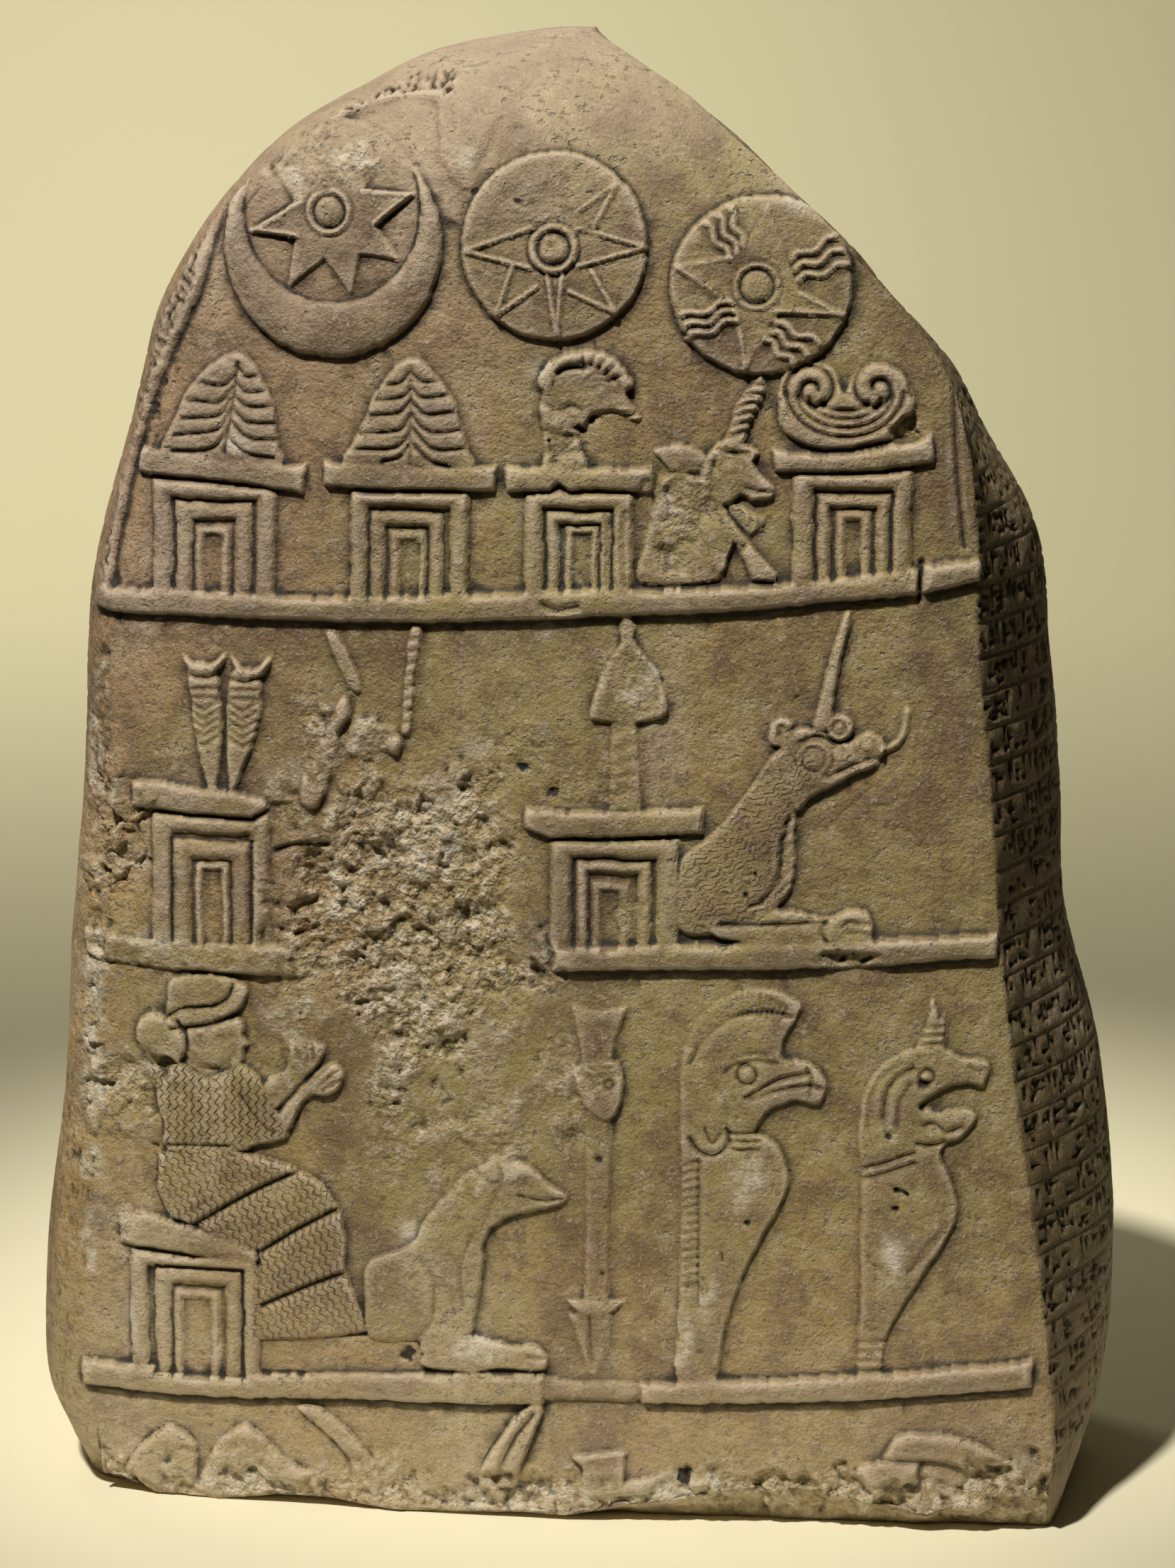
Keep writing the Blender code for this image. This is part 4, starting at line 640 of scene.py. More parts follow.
groove(0.7, 0.6, [(57, 209.8), (61, 211), (65.6, 209.4), (68.8, 207.6)])
for ring in (2.0, 3.3):
    groove(0.75, 0.55, circle(74.9, 208.9, ring), closed=True)
groove(0.9, 0.7, [(78.8, 205.4), (73, 204.4), (68.6, 202.4), (64.6, 200.4)])
ridge(1.5, 1.0, [(78.8, 207.6), (82.2, 209.2), (84.4, 212.4), (85.2, 218.6)])
form(2.3, [(48.6, 209.6), (49, 213.6), (51.4, 216), (54.4, 215), (54.2, 212.6), (58, 213.6), (61, 212),
           (56, 209.6), (52, 208.2)], shoulder=0.9)
groove(0.7, 0.6, [(51.4, 211.4), (51.6, 213.6), (53.2, 213.2), (54.6, 211.6)])
form(2.3, circle(67.5, 213.6, 3.5), shoulder=0.9)
groove(0.8, 0.6, arc(67.3, 213.6, 1.7, -120, 190))
form(2.1, [(60.6, 213.4), (61.6, 220), (63.6, 228), (66, 237), (68, 243.6), (69.8, 244.4), (69.4, 240),
           (68.3, 236), (66.4, 226), (65.4, 219), (64.6, 213.4)], shoulder=1.2)
ridge(0.35, 1.0, [(50.7, 242.5), (53.4, 234), (56.1, 222.8)])

# The goddess on her seat: a cap with one pair of horns, hair in a bun, both hands raised, a belted
# robe cut all over with zigzags, and a skirt in four flounces. Her face is worn to a calm oval.
form(1.5, [(-117, 128), (-117, 134), (-115.4, 138.8), (-106, 141), (-98, 140), (-96, 138), (-98, 133),
           (-106, 129), (-112, 126)],
     swell=0.5, reach=4)
form(2.1, [(-116.4, 125.8), (-113.5, 129.3), (-108, 130.8), (-103, 131.6), (-99.8, 133.6), (-98, 137),
           (-96, 139.2), (-94.2, 137.8), (-94.6, 134.5), (-97, 131.2), (-100, 129.3), (-105, 127.4),
           (-110, 126.2), (-114, 124.6)],
     shoulder=0.9, swell=0.4, reach=2)
form(1.9, [(-125.6, 126), (-122, 129.6), (-117.6, 129.4), (-113.6, 126.6), (-110.6, 121.6), (-111.4, 117.4),
           (-117, 114.8), (-122.4, 115.8), (-125.8, 121)], swell=1.6, reach=5)
form(1.2, [(-111.6, 119), (-109.6, 112.4), (-101, 112.4), (-99.6, 118), (-104, 120)])
form(1.7, [(-111.4, 126.2), (-104, 128.6), (-97, 129.2), (-95.0, 126.6), (-95.4, 124.6), (-93.6, 122.2),
           (-95, 120.8), (-95.4, 118.2), (-98, 115.4), (-102.6, 114.8), (-107, 116.6), (-110.8, 120)],
     shoulder=0.9, swell=1.0, reach=5)
groove(1.2, 0.6, [(-113.8, 127.4), (-111.6, 123.6), (-111.4, 118.8), (-113.4, 115)])
groove(1.1, 0.6, [(-115.6, 125.2), (-112.4, 125.6), (-106, 126.6), (-100, 128.6), (-95.6, 131.4)])
groove(1.0, 0.5, [(-117.4, 128.2), (-113, 130.9), (-108, 131.6), (-103, 132.4), (-99.4, 135), (-98, 138.6)])
groove(0.4, 0.5, arc(-107.4, 122.0, 1.7, 60, 300))
groove(0.35, 0.6, [(-101, 123.8), (-98.8, 124.4), (-96.8, 123.8)])
groove(0.25, 0.6, [(-98.8, 118.8), (-96.4, 118.8)], sharp=True)
TORSO = [
    (-122.4, 113.4), (-117.6, 115), (-113, 115.8), (-109.4, 113.4), (-105.2, 111.8), (-101, 114),
    (-97, 116.4), (-93, 114.6), (-89.6, 110.6), (-86.6, 105), (-82.6, 97.4), (-88, 95), (-93, 93.8),
    (-97, 92), (-116.8, 91.6), (-118, 98.4), (-120.6, 106),
]
form(1.8, TORSO, swell=0.9, reach=7)
for drop in (0.0, 1.5, 3.0):
    groove(0.6, 0.5, [(-112.6, 118.4 - drop), (-108.6, 115.2 - drop), (-105, 114.4 - drop),
                      (-101.4, 115.6 - drop), (-98.6, 117.6 - drop)])
groove(0.6, 0.7, [(-96, 108), (-91, 101), (-86, 97.4)])
form(2.2, [(-117.2, 89), (-100, 89.8), (-99.4, 94.8), (-117.4, 95)], shoulder=0.8, sharp=True)
rungs(0.8, 0.5, (90.4, 92.6), [(-117.4, 0), (-99, 0.7)], sharp=False)
form(1.7, [(-90, 109), (-87.8, 113), (-83.8, 114.8), (-82.6, 118.6), (-81, 122.8), (-77, 124.2), (-72, 122.8),
           (-73.4, 118.4), (-76, 115), (-79.4, 112), (-82.6, 108), (-86.6, 104.4)], swell=0.7, reach=3)
form(2.2, [(-85.6, 100.4), (-83.8, 105.4), (-80, 109.4), (-76.6, 113), (-73.2, 116.6), (-69.6, 118.2),
           (-67, 115.4), (-68.4, 111), (-71.4, 109.2), (-76, 108.8), (-79, 106), (-81, 101), (-83.4, 98.2)],
     swell=0.7, reach=3)
for finger in ([(-80.6, 122.4), (-79, 117.8)], [(-78.4, 123.8), (-76.8, 118.4)],
               [(-75.8, 123.8), (-75, 118.4)], [(-70.4, 117.6), (-75.4, 112.8)],
               [(-68.4, 116), (-73.8, 111.4)], [(-67.8, 113.4), (-72.4, 110.2)]):
    groove(0.7, 0.5, finger, sharp=True)
FLOUNCES = [
    [(-119.8, 90.4), (-98, 92), (-86, 90), (-79.4, 87.4), (-94, 79.6), (-109, 70.2), (-116, 72.2),
     (-120, 80)],
    [(-109.4, 71), (-94, 80.2), (-79.4, 87.6), (-73, 84.4), (-68.4, 77.6), (-80, 70.6), (-90.4, 63.6),
     (-102, 67)],
    [(-91.2, 64.4), (-80, 71.2), (-68.2, 77.8), (-66.4, 69), (-66.8, 59.4), (-78, 54.4), (-91.2, 48.4)],
    [(-91.4, 49), (-78, 55), (-66.6, 60), (-62.6, 50), (-59.8, 43.2), (-74, 40.8), (-91.4, 38.8)],
]
for index, flounce in enumerate(FLOUNCES):
    form(1.8 - 0.12 * index, flounce, shoulder=0.9, swell=0.9, reach=7, sharp=True)
for fold in ([(-109.2, 70.5), (-94, 80), (-79.7, 87.4)], [(-89.9, 64.2), (-80, 70.8), (-68.3, 77.2)],
             [(-89.9, 48.8), (-78, 54.6), (-67.1, 59.1)]):
    groove(1.0, 0.8, fold)
form(0.8, [(-91.4, 30), (-91.2, 39), (-60, 42), (-46, 40.4), (-44, 32)], sharp=True)

# Her seat: a thick cushion laid over a block. The block's front steps back in nested frames, cut
# like the altars', and stands on the lowest ledge.
altar([(-131.4, 64), (-109.6, 62), (-91, 61), (-91.6, 64.4), (-98, 67.4), (-108, 69.4), (-119, 72.4),
       (-126, 73.4), (-131.6, 71.6)],
      [(-128.2, -90, 63.4, 29), (-121.2, -95.4, 58.6, 29), (-116, -101.6, 52.6, 29),
       (-112.6, -106, 48.2, 29)],
      rise=2.5, slab_rise=3.0)

# The dog beside her, seated on its haunches, with its head up and its feet on the ledge.
DOG = [
    (-60, 62.4), (-50.2, 66.8), (-46.8, 69.4), (-44, 75), (-40.6, 79.8), (-36.4, 84.6), (-31.4, 89.6),
    (-27, 91.4), (-22, 86), (-25.4, 75), (-28.4, 69), (-27.6, 65), (-28.6, 58), (-30, 50), (-32.2, 42.6),
    (-40, 36), (-45, 38.6), (-46.4, 41.4), (-59, 41.2), (-61, 51),
]
form(1.2, DOG, swell=1.5, reach=8)
form(1.4, [(-33, 88), (-27.8, 91.4), (-24.6, 94.4), (-19, 93), (-14.4, 91.6), (-10, 87.4), (-5.4, 84.6),
           (-5.2, 82), (-11, 80), (-20, 77.6), (-26, 74), (-31, 76)], swell=1.0, reach=5)
form(1.9, [(-44.8, 34.4), (-41.6, 40), (-33.6, 43.4), (-25, 42.4), (-19, 41.4), (-12.8, 41.8), (-9.8, 37.6),
           (-12.4, 34.6), (-22, 35), (-32, 33.4)], swell=0.5, reach=3)
groove(0.8, 0.6, [(-6, 83), (-12, 82.4), (-18, 83.4)])
groove(0.5, 0.5, circle(-17.4, 87.2, 1.2), closed=True)
groove(0.6, 0.6, [(-29, 89), (-25, 86.6), (-22.4, 88.6), (-24, 92)])
groove(0.4, 0.6, [(-24, 84), (-26.4, 78), (-28.6, 74)])
groove(0.6, 1.0, [(-45, 64), (-41.6, 58), (-42, 48), (-46, 42)])
groove(0.5, 0.9, [(-31, 72), (-34, 62), (-33.4, 52)])
groove(0.6, 0.6, [(-15, 38.4), (-10.6, 38.2)])

# The staff with a masked head, between the dog and the eagle staff: a flared top, a mask with two
# eyes and a ribbed brow, a worn shaft, a cross-piece and a pointed foot.
form(1.5, [(-0.6, 117), (-1.8, 127), (-4, 136.8), (3, 135.2), (11.2, 136.6), (9.6, 132), (7.6, 127),
           (6.6, 117)],
     sharp=True, slant=0.3)
form(2.0, [(-2.8, 119.6), (-2, 113), (0.6, 108.4), (6, 105.2), (9.2, 109), (10, 116), (8.6, 121.4), (3, 121)],
     swell=0.8, reach=4)
groove(0.9, 0.8, circle(1.2, 115.6, 1.1), closed=True)
groove(0.9, 0.8, circle(6.6, 115.2, 1.1), closed=True)
rungs(0.6, 0.6, (118.4, 120.2), [(-2.4, 0), (3.4, -0.8), (9.4, 0.2)], sharp=False)
form(1.0, [(0.2, 50), (0.6, 109), (7.2, 108), (6.6, 50)], shoulder=1.8, swell=0.3, reach=3, sharp=True)
form(1.6, [(-5, 54.8), (0, 50.8), (6.6, 51.4), (11.2, 55.2)], sharp=True)
form(1.2, [(-4.2, 51), (1.6, 34.4), (3.4, 34), (6.8, 42), (7.6, 51)], shoulder=1.6, sharp=True)
groove(0.6, 0.8, [(1.6, 50), (2.4, 36)])

# The eagle-headed staff: a combed crest and a hooked beak above a neck that curls under and then
# swells like an arm, with a cut border down its left side, where it melts into the ground.
form(1.6, [
    (26.2, 31), (26.4, 60), (26.6, 90), (26, 105), (26, 116), (26.8, 125), (29, 131), (32.4, 136), (38, 140),
    (44, 142), (51.4, 142), (58, 139), (56.8, 134.6), (53.6, 128), (53.4, 123.6), (58, 123.4), (62.6, 121.4),
    (65, 117.4), (64.4, 113), (62.6, 111.4), (57, 112.2), (51, 110.2), (47.6, 106.8), (46.6, 103),
    (50.6, 101.6), (54, 97), (55.4, 91), (54.6, 86.4), (51, 79), (47, 71), (43.4, 63), (40.6, 55), (38.2, 46),
    (36.6, 36), (36, 31),
], shoulder=0.8, swell=1.0, reach=7, slant=0.45)
groove(0.8, 0.7, [(28.4, 121.6), (32.4, 128.8), (37.4, 133), (43.6, 135.6), (50, 136.2), (55.6, 135.2)])
for turn in np.radians(np.linspace(172, 52, 24)):
    groove(0.65, 0.5, [(43.4 + 11.0 * math.cos(turn) * 1.25, 124.4 + 11.0 * math.sin(turn)),
                       (43.4 + 16.6 * math.cos(turn) * 1.08, 124.8 + 16.6 * math.sin(turn))], sharp=True)
groove(0.7, 0.6, [(38, 119.4), (41, 121.6), (46, 122.8), (52, 122.4)])
groove(0.5, 0.5, [(40, 123), (44, 124.6), (50, 124.6)])
groove(0.9, 0.6, circle(43.8, 119.0, 2.6), closed=True)
form(2.4, circle(43.8, 119.0, 1.3), shoulder=0.9)
groove(0.9, 0.6, [(43.4, 112.6), (48, 115.2), (53, 118), (60.4, 119.8)])
groove(0.8, 0.6, [(45, 112.2), (52, 114.8), (60, 116.4), (64, 115.8)])
groove(0.6, 0.5, [(60, 121.4), (61.4, 118.4), (60.6, 114)])
groove(1.0, 0.7, [(28.6, 101), (31, 97.6), (34.6, 96.4), (37.8, 98), (39.2, 101.4), (38.6, 104)])
groove(0.7, 0.6, [(32.6, 103.6), (34.6, 99.8), (37, 102.4)])
rungs(0.8, 0.55, (98.4, 100.6, 102.8), [(39.6, 0), (43, -0.3), (47.6, 0.2)], sharp=False)
rungs(0.6, 0.5, np.arange(60.0, 94.0, 2.4), [(27.2, 0), (30.8, 1.0)])
groove(0.6, 0.6, [(31.4, 56), (31.4, 76), (31.2, 95)])
groove(0.4, 1.0, [(35, 116), (38, 112), (38.6, 106)])

# The lion-headed staff at the right, with two ringed horns, an open jaw, a maned neck under a
# double collar, and a foot bound with rings.
form(1.6, [
    (75.2, 35), (75.4, 60), (75.2, 90), (74.4, 100), (74.4, 110), (76.2, 116.6), (79, 121), (83, 124.4),
    (88, 126.6), (93, 126), (97.6, 126.8), (101, 124.8), (106, 124.8), (108.8, 123), (108, 119), (107.2, 116),
    (102.6, 117.2), (97, 115.6), (92.4, 112), (94.4, 109.6), (99, 110.6), (103.4, 111), (105.4, 108),
    (101.4, 103), (97.6, 101), (96, 97.4), (99, 92), (100.8, 84), (99.8, 78), (95.6, 71), (90.6, 62.4),
    (85.6, 53.4), (82, 45), (80.8, 35),
], shoulder=0.8, swell=1.0, reach=7, slant=0.45)
form(1.6, [(88.4, 124.6), (90.6, 130), (92, 135), (93.2, 140.6), (95, 136), (94.4, 130), (93, 124.6)])
form(1.6, [(93.4, 125), (94.2, 130), (95.4, 135.4), (96.8, 134), (96.4, 129), (96.4, 125)])
rungs(0.6, 0.5, (128.0, 130.4, 132.8), [(90, 0), (96.6, 0.4)])
groove(0.9, 0.8, [(80.6, 108), (81.4, 114.6), (84.4, 119.4), (88.6, 121.6)])
groove(0.5, 0.6, [(76.6, 104), (77.2, 112.6), (80.4, 119), (85.4, 122.6)])
groove(0.6, 0.6, [(84.6, 106), (85, 112), (88, 117.4)])
groove(1.5, 0.9, [(91, 110.8), (94.4, 113.6), (99, 115.8), (103, 116.8), (107.6, 116)])
groove(0.8, 0.7, [(91.4, 106), (94.6, 106.6), (98, 104.4), (102, 106)])
groove(0.9, 0.7, [(90, 101), (93.6, 100.6), (97, 101.6)])
for drop in (0.0, 2.8):
    groove(0.8, 0.6, [(75, 93.8 - drop), (81.4, 95.6 - drop), (89.4, 98.6 - drop)])
groove(0.9, 0.7, circle(92.2, 119.4, 1.9), closed=True)
groove(0.6, 0.6, [(103.6, 122.6), (105.6, 121.2), (107.6, 121.8)])
groove(0.5, 0.7, [(88.6, 66), (93, 72.6), (98.4, 79)])
rungs(0.6, 0.6, (38.0, 40.6, 43.2, 45.8), [(75.2, 0), (82, 0.4)], sharp=False)

# The bottom row, mostly lost: tops of two heads, a curved horn, the rim of a cup, and an arched
# band at the right.
form(2.0, [(-131, -6), (-127, 4.6), (-120, 11.2), (-116.4, 12.8), (-112.4, 11), (-109, 6), (-112, -6),
           (-121, -8)],
     swell=1.0, reach=6)
form(2.1, [(-108, -6), (-105, 6), (-99, 12.4), (-95, 14.8), (-90, 11.2), (-84, 6), (-75, 2), (-68, 0),
           (-80, -6), (-95, -8)], swell=1.0, reach=6)
groove(0.9, 0.9, [(-117.6, 2.2), (-115.8, 5.2), (-112.8, 6.7), (-108.6, 5.8)])
form(1.5, [(-80, 20), (-72, 14), (-66, 7), (-62, 0), (-58, -4), (-57, 2), (-61, 9), (-67, 16), (-75, 21)],
     swell=0.4, reach=3)
form(2.2, [(-13.4, 25.4), (-18.6, 21.4), (-23, 15.4), (-27.4, 8), (-29.6, 0), (-30, -8), (-19.6, -8),
           (-18.4, 4), (-15.6, 12), (-11.2, 23.4)], swell=0.8, reach=4)
groove(1.1, 0.9, [(-13.4, 22.4), (-19, 15), (-22.8, 6), (-24.4, -6)])
form(1.8, [(-2.6, 10.6), (9.8, 12.8), (11.6, 12.2), (10.8, -6), (0.6, -6), (0, 8)], sharp=True)
ridge(0.8, 1.1, [(-1.7, 10.4), (5, 11.8), (11.5, 12.7)])
form(1.7, [(10.6, 2), (14, 5), (21, 6), (27, 4), (33, 6), (39.4, 9.6), (36, 2), (26, -4), (14, -6)],
     swell=0.6, reach=4)
form(2.1, [(74, -2), (76, 11.4), (82, 13.4), (85.6, 19.6), (90, 21.2), (100, 20.8), (107, 18.9), (113, 15.8),
           (118, 12.1), (120.4, 8), (112, 3), (108, 5), (106.6, 9.4), (99.6, 12), (92, 12.4), (90, -2)],
     swell=0.6, reach=5)
groove(1.0, 0.9, [(76.2, 11.4), (80.6, 13.2), (88.7, 12.9), (99.7, 12.5), (106.2, 9.6)])
ridge(0.8, 1.0, [(94.6, 0.5), (95, 11)], sharp=True)

# The dressed ground of the face. The mason sank it below a plain rolled border, and left rows of
# small wedge strokes along the shoulder. Wear has eased every edge that looks up or to the left.
BORDER = [
    (-152, 240), (-133.4, 246), (-130.4, 262), (-127.4, 276), (-123.4, 291), (-118.4, 304), (-112.4, 316),
    (-107, 328), (-104.6, 338), (-102.4, 350), (-94, 361.6), (-80, 368), (-70.6, 372.6), (-61, 376.6),
    (-51, 378.4), (-43.4, 377.4), (-42, 369.6), (-40.4, 362), (-35.4, 354.6), (-31.2, 354.8), (-31.2, 361),
    (-28.6, 366), (-27.2, 370.4), (-24, 377), (-12, 390), (-12, 402), (-152, 402),
]
border_depth = depth_inside(np.array(BORDER, float), sheet_u, sheet_v) + 1.4 * hand_cut
border_rise = np.interp(sheet_u, (-70, -46, -28, -12), (2.8, 1.7, 1.3, 0.0))
height = np.maximum(height, border_rise * quarter_round(border_depth / 3.6) * (border_depth > 0))
border_furrow = 0.7 * np.exp(-(((border_depth + 1.2) / 1.8) ** 2))
height -= border_furrow * (height < 0.6) * np.clip((-50 - sheet_u) / 20, 0, 1)
groove(0.9, 0.8, [(96.0, 306), (96.3, 293), (97.7, 276), (99.4, 262)])
dice = np.random.default_rng(4)
SHOULDER_IN = [(-134, 246), (-129.6, 276), (-121, 304), (-109.6, 328), (-107, 342), (-102.4, 353),
               (-93, 363.4), (-79, 369.6), (-70, 374.2), (-61, 378.4), (-51, 380.4), (-41, 380.4)]
SHOULDER_OUT = [(-146, 246), (-141, 276), (-131, 304), (-121, 328), (-115.8, 345.2), (-107.6, 355.7),
                (-96, 366.4), (-83, 374.0), (-73, 379.4), (-62, 383.0), (-51, 385.2), (-40.3, 385.2)]
near_line, far_line = (smooth(points, closed=False, steps=14) for points in (SHOULDER_IN, SHOULDER_OUT))
groove(0.3, 0.5, near_line[20:], sharp=True)
for share in (0.15, 0.5, 0.85):
    for at_u, at_v in (near_line * (1 - share) + far_line * share)[2:]:
        turn = dice.choice((1.2, -0.5, 2.4)) + dice.uniform(-0.3, 0.3)
        reach_u, reach_v = dice.uniform(0.8, 1.7) * np.array((math.cos(turn), math.sin(turn)))
        at_u, at_v = at_u + dice.uniform(-0.7, 0.7), at_v + dice.uniform(-0.7, 0.7)
        ends = [(at_u - reach_u, at_v - reach_v), (at_u + reach_u, at_v + reach_v)]
        groove(dice.uniform(0.5, 1.1), 0.5, ends, sharp=True)


def ease(field, rows, columns, slope, reach):
    """Wears back the sides that look one way.

    No place stands above the ground on that side by more than the slope times the distance to it.
    """
    ground = np.where(field < 0.2, field, 99)
    eased = field
    for k in range(1, int(reach / CELL) + 1):
        eased = np.minimum(eased, np.roll(ground, (-k * rows, -k * columns), (0, 1)) + slope * k * CELL)
    return eased


height *= WEAR
height = ease(height, 1, 0, 1.1, 2.2)
height = ease(height, 0, -1, 1.4, 1.6)


def blur(field, radius):
    """Gaussian blur on the sheet, as weighted sums of shifted copies along each direction."""
    reach = int(math.ceil(2.5 * radius / CELL))
    weights = np.exp(-0.5 * (np.arange(-reach, reach + 1) * CELL / radius) ** 2)
    weights /= weights.sum()
    for axis in (0, 1):
        padded = np.pad(field, [(reach, reach) if a == axis else (0, 0) for a in (0, 1)], mode="edge")
        size = field.shape[axis]
        field = sum(w * np.take(padded, np.arange(k, k + size), axis) for k, w in enumerate(weights))
    return field


def cover(outlines, soft=1.2):
    """How far each place lies within any of the outlines: 0 at the edge, 1 a little way in."""
    mask = np.zeros(height.shape)
    for points in outlines:
        outline = smooth(points)
        place, u, v = window(outline)
        mask[place] = np.maximum(mask[place], np.clip(depth_inside(outline, u, v) / soft, 0, 1))
    return mask


raised = np.clip(blur(height, 0.6) / 1.6, 0, 1)
zigzag_cover = cover([TORSO])
skirt_cover = cover(FLOUNCES)
scale_cover = cover([DRAGON_BODY], soft=2.0)

# The damage. The great hollow in the second and third rows was battered out, small chips and holes
# are all over the face, and the lower edge is a raw break. Pale patches and most dark patches are old
# stains; the thin dark bands just under the first and second ledges are painted shade.

CHIP_HASH = 92837111, 689287499, 283923481


def facets(u, v, size, seed):
    """Broken stone: the sheet in irregular cells, each a tilted plane, with a crease between them.

    The plane's height is read from the nearest seed, and the crease from how close the second is.
    """
    first, second = np.full(u.shape, np.inf), np.full(u.shape, np.inf)
    value = np.zeros(u.shape)
    cell_u, cell_v = np.floor(u / size).astype(int), np.floor(v / size).astype(int)
    for step_u in (-1, 0, 1):
        for step_v in (-1, 0, 1):
            key = (cell_u + step_u) * CHIP_HASH[0] ^ (cell_v + step_v) * CHIP_HASH[1] ^ seed * CHIP_HASH[2]
            key = key & (LATTICE_SIZE - 1)
            from_u = u - (cell_u + step_u + LATTICE[key]) * size
            from_v = v - (cell_v + step_v + LATTICE[key - 7]) * size
            gap = np.hypot(from_u, from_v)
            tilt_u, tilt_v = LATTICE[key - 31] - 0.5, LATTICE[key - 47] - 0.5
            plane = 0.7 * (LATTICE[key - 63] - 0.5) + 1.3 * (tilt_u * from_u + tilt_v * from_v) / size
            nearer = gap < first
            second = np.where(nearer, first, np.minimum(second, gap))
            value = np.where(nearer, plane, value)
            first = np.minimum(first, gap)
    crease = np.exp(-(((second - first) / (0.12 * size)) ** 2))
    return value - 0.15 * crease


GREAT_BREAK = [
    (-83, 204), (-79, 213), (-75, 219), (-70, 217), (-69, 208), (-62, 205), (-50, 206), (-40, 206),
    (-30, 201), (-20, 194), (-15, 180), (-13, 160), (-12, 146), (-18, 134), (-26, 122), (-36, 112),
    (-48, 104), (-60, 106), (-66, 118), (-72, 130), (-76, 142), (-84, 152), (-84, 166), (-82, 180),
    (-78, 192),
]
break_depth = depth_inside(smooth(GREAT_BREAK), sheet_u, sheet_v) + 6.0 * middle + 6.0 * broad + 1.5 * fine
broken = np.clip(break_depth / 12.0, 0, 1) ** 0.8
# Rough places: middle and half widths of an oval, and how broken it is.
ROUGH_PLACES = [
    ((-6, 116, 8, 16), 0.35), ((24, 270, 10, 15), 0.5), ((-128, 108, 10, 14), 0.6), ((-131, 70, 5, 9), 0.4),
    ((-137, 190, 5, 40), 0.5), ((-100, 2, 30, 7), 0.35), ((8, 0, 40, 7), 0.4), ((66, 2, 16, 6), 0.45),
    ((85, 292, 5, 4), 0.7), ((-60, 2, 22, 8), 0.35), ((116, 8, 14, 9), 0.35), ((-87, 154, 7, 5), 0.5),
    ((-118, 146, 26, 4), 0.3), ((-45, 58, 8, 8), 0.2), ((-4, 198, 9, 5), 0.3), ((-74, 204, 7, 16), 0.6),
    ((-60, 207, 9, 7), 0.6), ((-80, 168, 5, 22), 0.3), ((-26, 102, 12, 10), 0.4),
    ((70, 151, 10, 2.4), 0.35), ((6, 196, 6, 8), 0.3), ((-46, 98, 14, 10), 0.4), ((-24, 140, 10, 20), 0.35),
    ((-22, 206, 12, 8), 0.35), ((-84, 136, 7, 14), 0.35), ((-82, 190, 6, 20), 0.35), ((10, 224, 9, 10), 0.3),
    ((-8, 290, 5, 8), 0.35), ((-84, 118, 8, 14), 0.25), ((-60, 262, 10, 8), 0.12),
    ((10, 228, 8, 10), 0.22), ((-9, 350, 14, 9), 0.22), ((-74, 362, 16, 8), 0.45), ((80, 338, 6, 10), 0.5),
    ((-40, 86, 16, 9), 0.22), ((-66, 140, 10, 9), 0.3), ((10, 160, 6, 9), 0.3), ((2, 300, 8, 6), 0.16),
]


def oval(at_u, at_v, half_u, half_v):
    """Squares of the distances from an oval's middle, as shares of its half widths: 1 on its edge."""
    return ((sheet_u - at_u) / half_u) ** 2 + ((sheet_v - at_v) / half_v) ** 2


for place, strength in ROUGH_PLACES:
    broken = np.maximum(broken, strength * np.clip(1.3 - oval(*place) + 0.9 * middle, 0, 1))
edge_line = np.interp(sheet_u, np.linspace(-136, 127, len(FOOT_EDGE)), FOOT_EDGE)
foot_break = edge_line + 8.0 + 5.0 * middle + 3.0 * broad - sheet_v
broken = np.maximum(broken, 0.9 * np.clip(foot_break / 6.0, 0, 1))
broken = broken * (1 - 0.2 * cover(LUMPS, soft=2.0))
skewed = np.stack((sheet_u * 0.9 + sheet_v * 0.5, sheet_v * 1.2 - sheet_u * 0.5), -1)
rubble = (1.3 * layers(skewed, 10.0, 4, seed=61, gain=0.58)
          + 1.5 * facets(sheet_u + 2.2 * middle, sheet_v + 2.2 * fine, 5.6, 3)
          + 0.7 * facets(sheet_u + 1.4 * fine, sheet_v + middle, 2.8, 5))
hollow = 1.0 + 1.3 * broad + 0.8 * np.clip(break_depth / 20, 0, 1)
height = height * (1 - 0.94 * np.clip(broken * 1.2, 0, 1)) + broken * (rubble - hollow)
# Pits: u, v, radius and depth.
PITS = [
    (-19.7, 351.7, 1.4, 1.2), (-9.4, 194.6, 1.6, 1.0), (-17.9, 201, 1.8, 1.0), (45.5, 174, 1.0, 1.4),
    (44.5, 171, 0.9, 1.2), (43, 168, 0.9, 1.2), (-48.9, 37.1, 1.5, 1.4), (4, 115.4, 0.8, 1.0),
    (4, 94.3, 0.8, 1.0), (5.7, 80.7, 0.9, 1.0), (4.9, 62.5, 0.8, 1.0), (37.8, 68.7, 1.0, 1.0),
    (44.4, 78.2, 1.0, 1.2), (84.4, 88.4, 1.3, 1.8), (87.6, 87.2, 1.1, 1.8), (84.6, 83.2, 1.1, 1.4),
    (90.9, 117.6, 1.1, 1.4), (82, 103, 1.2, 1.0), (28, 5.8, 2.0, 1.6), (64, 152, 1.1, 1.4),
    (69, 151.4, 1.1, 1.4), (75, 150.8, 1.4, 1.4), (72, 152.4, 0.9, 1.2), (-31, 354.5, 1.0, 1.0),
    (86.6, 292, 1.3, 1.4), (-2.6, 292, 1.5, 1.8), (-11, 288.6, 1.2, 1.4), (0.5, 294.6, 1.0, 1.4),
    (-120, 92, 1.4, 1.2),
]
pitted = np.zeros(height.shape)
speckle = noise(sheet, 1.6, 77)
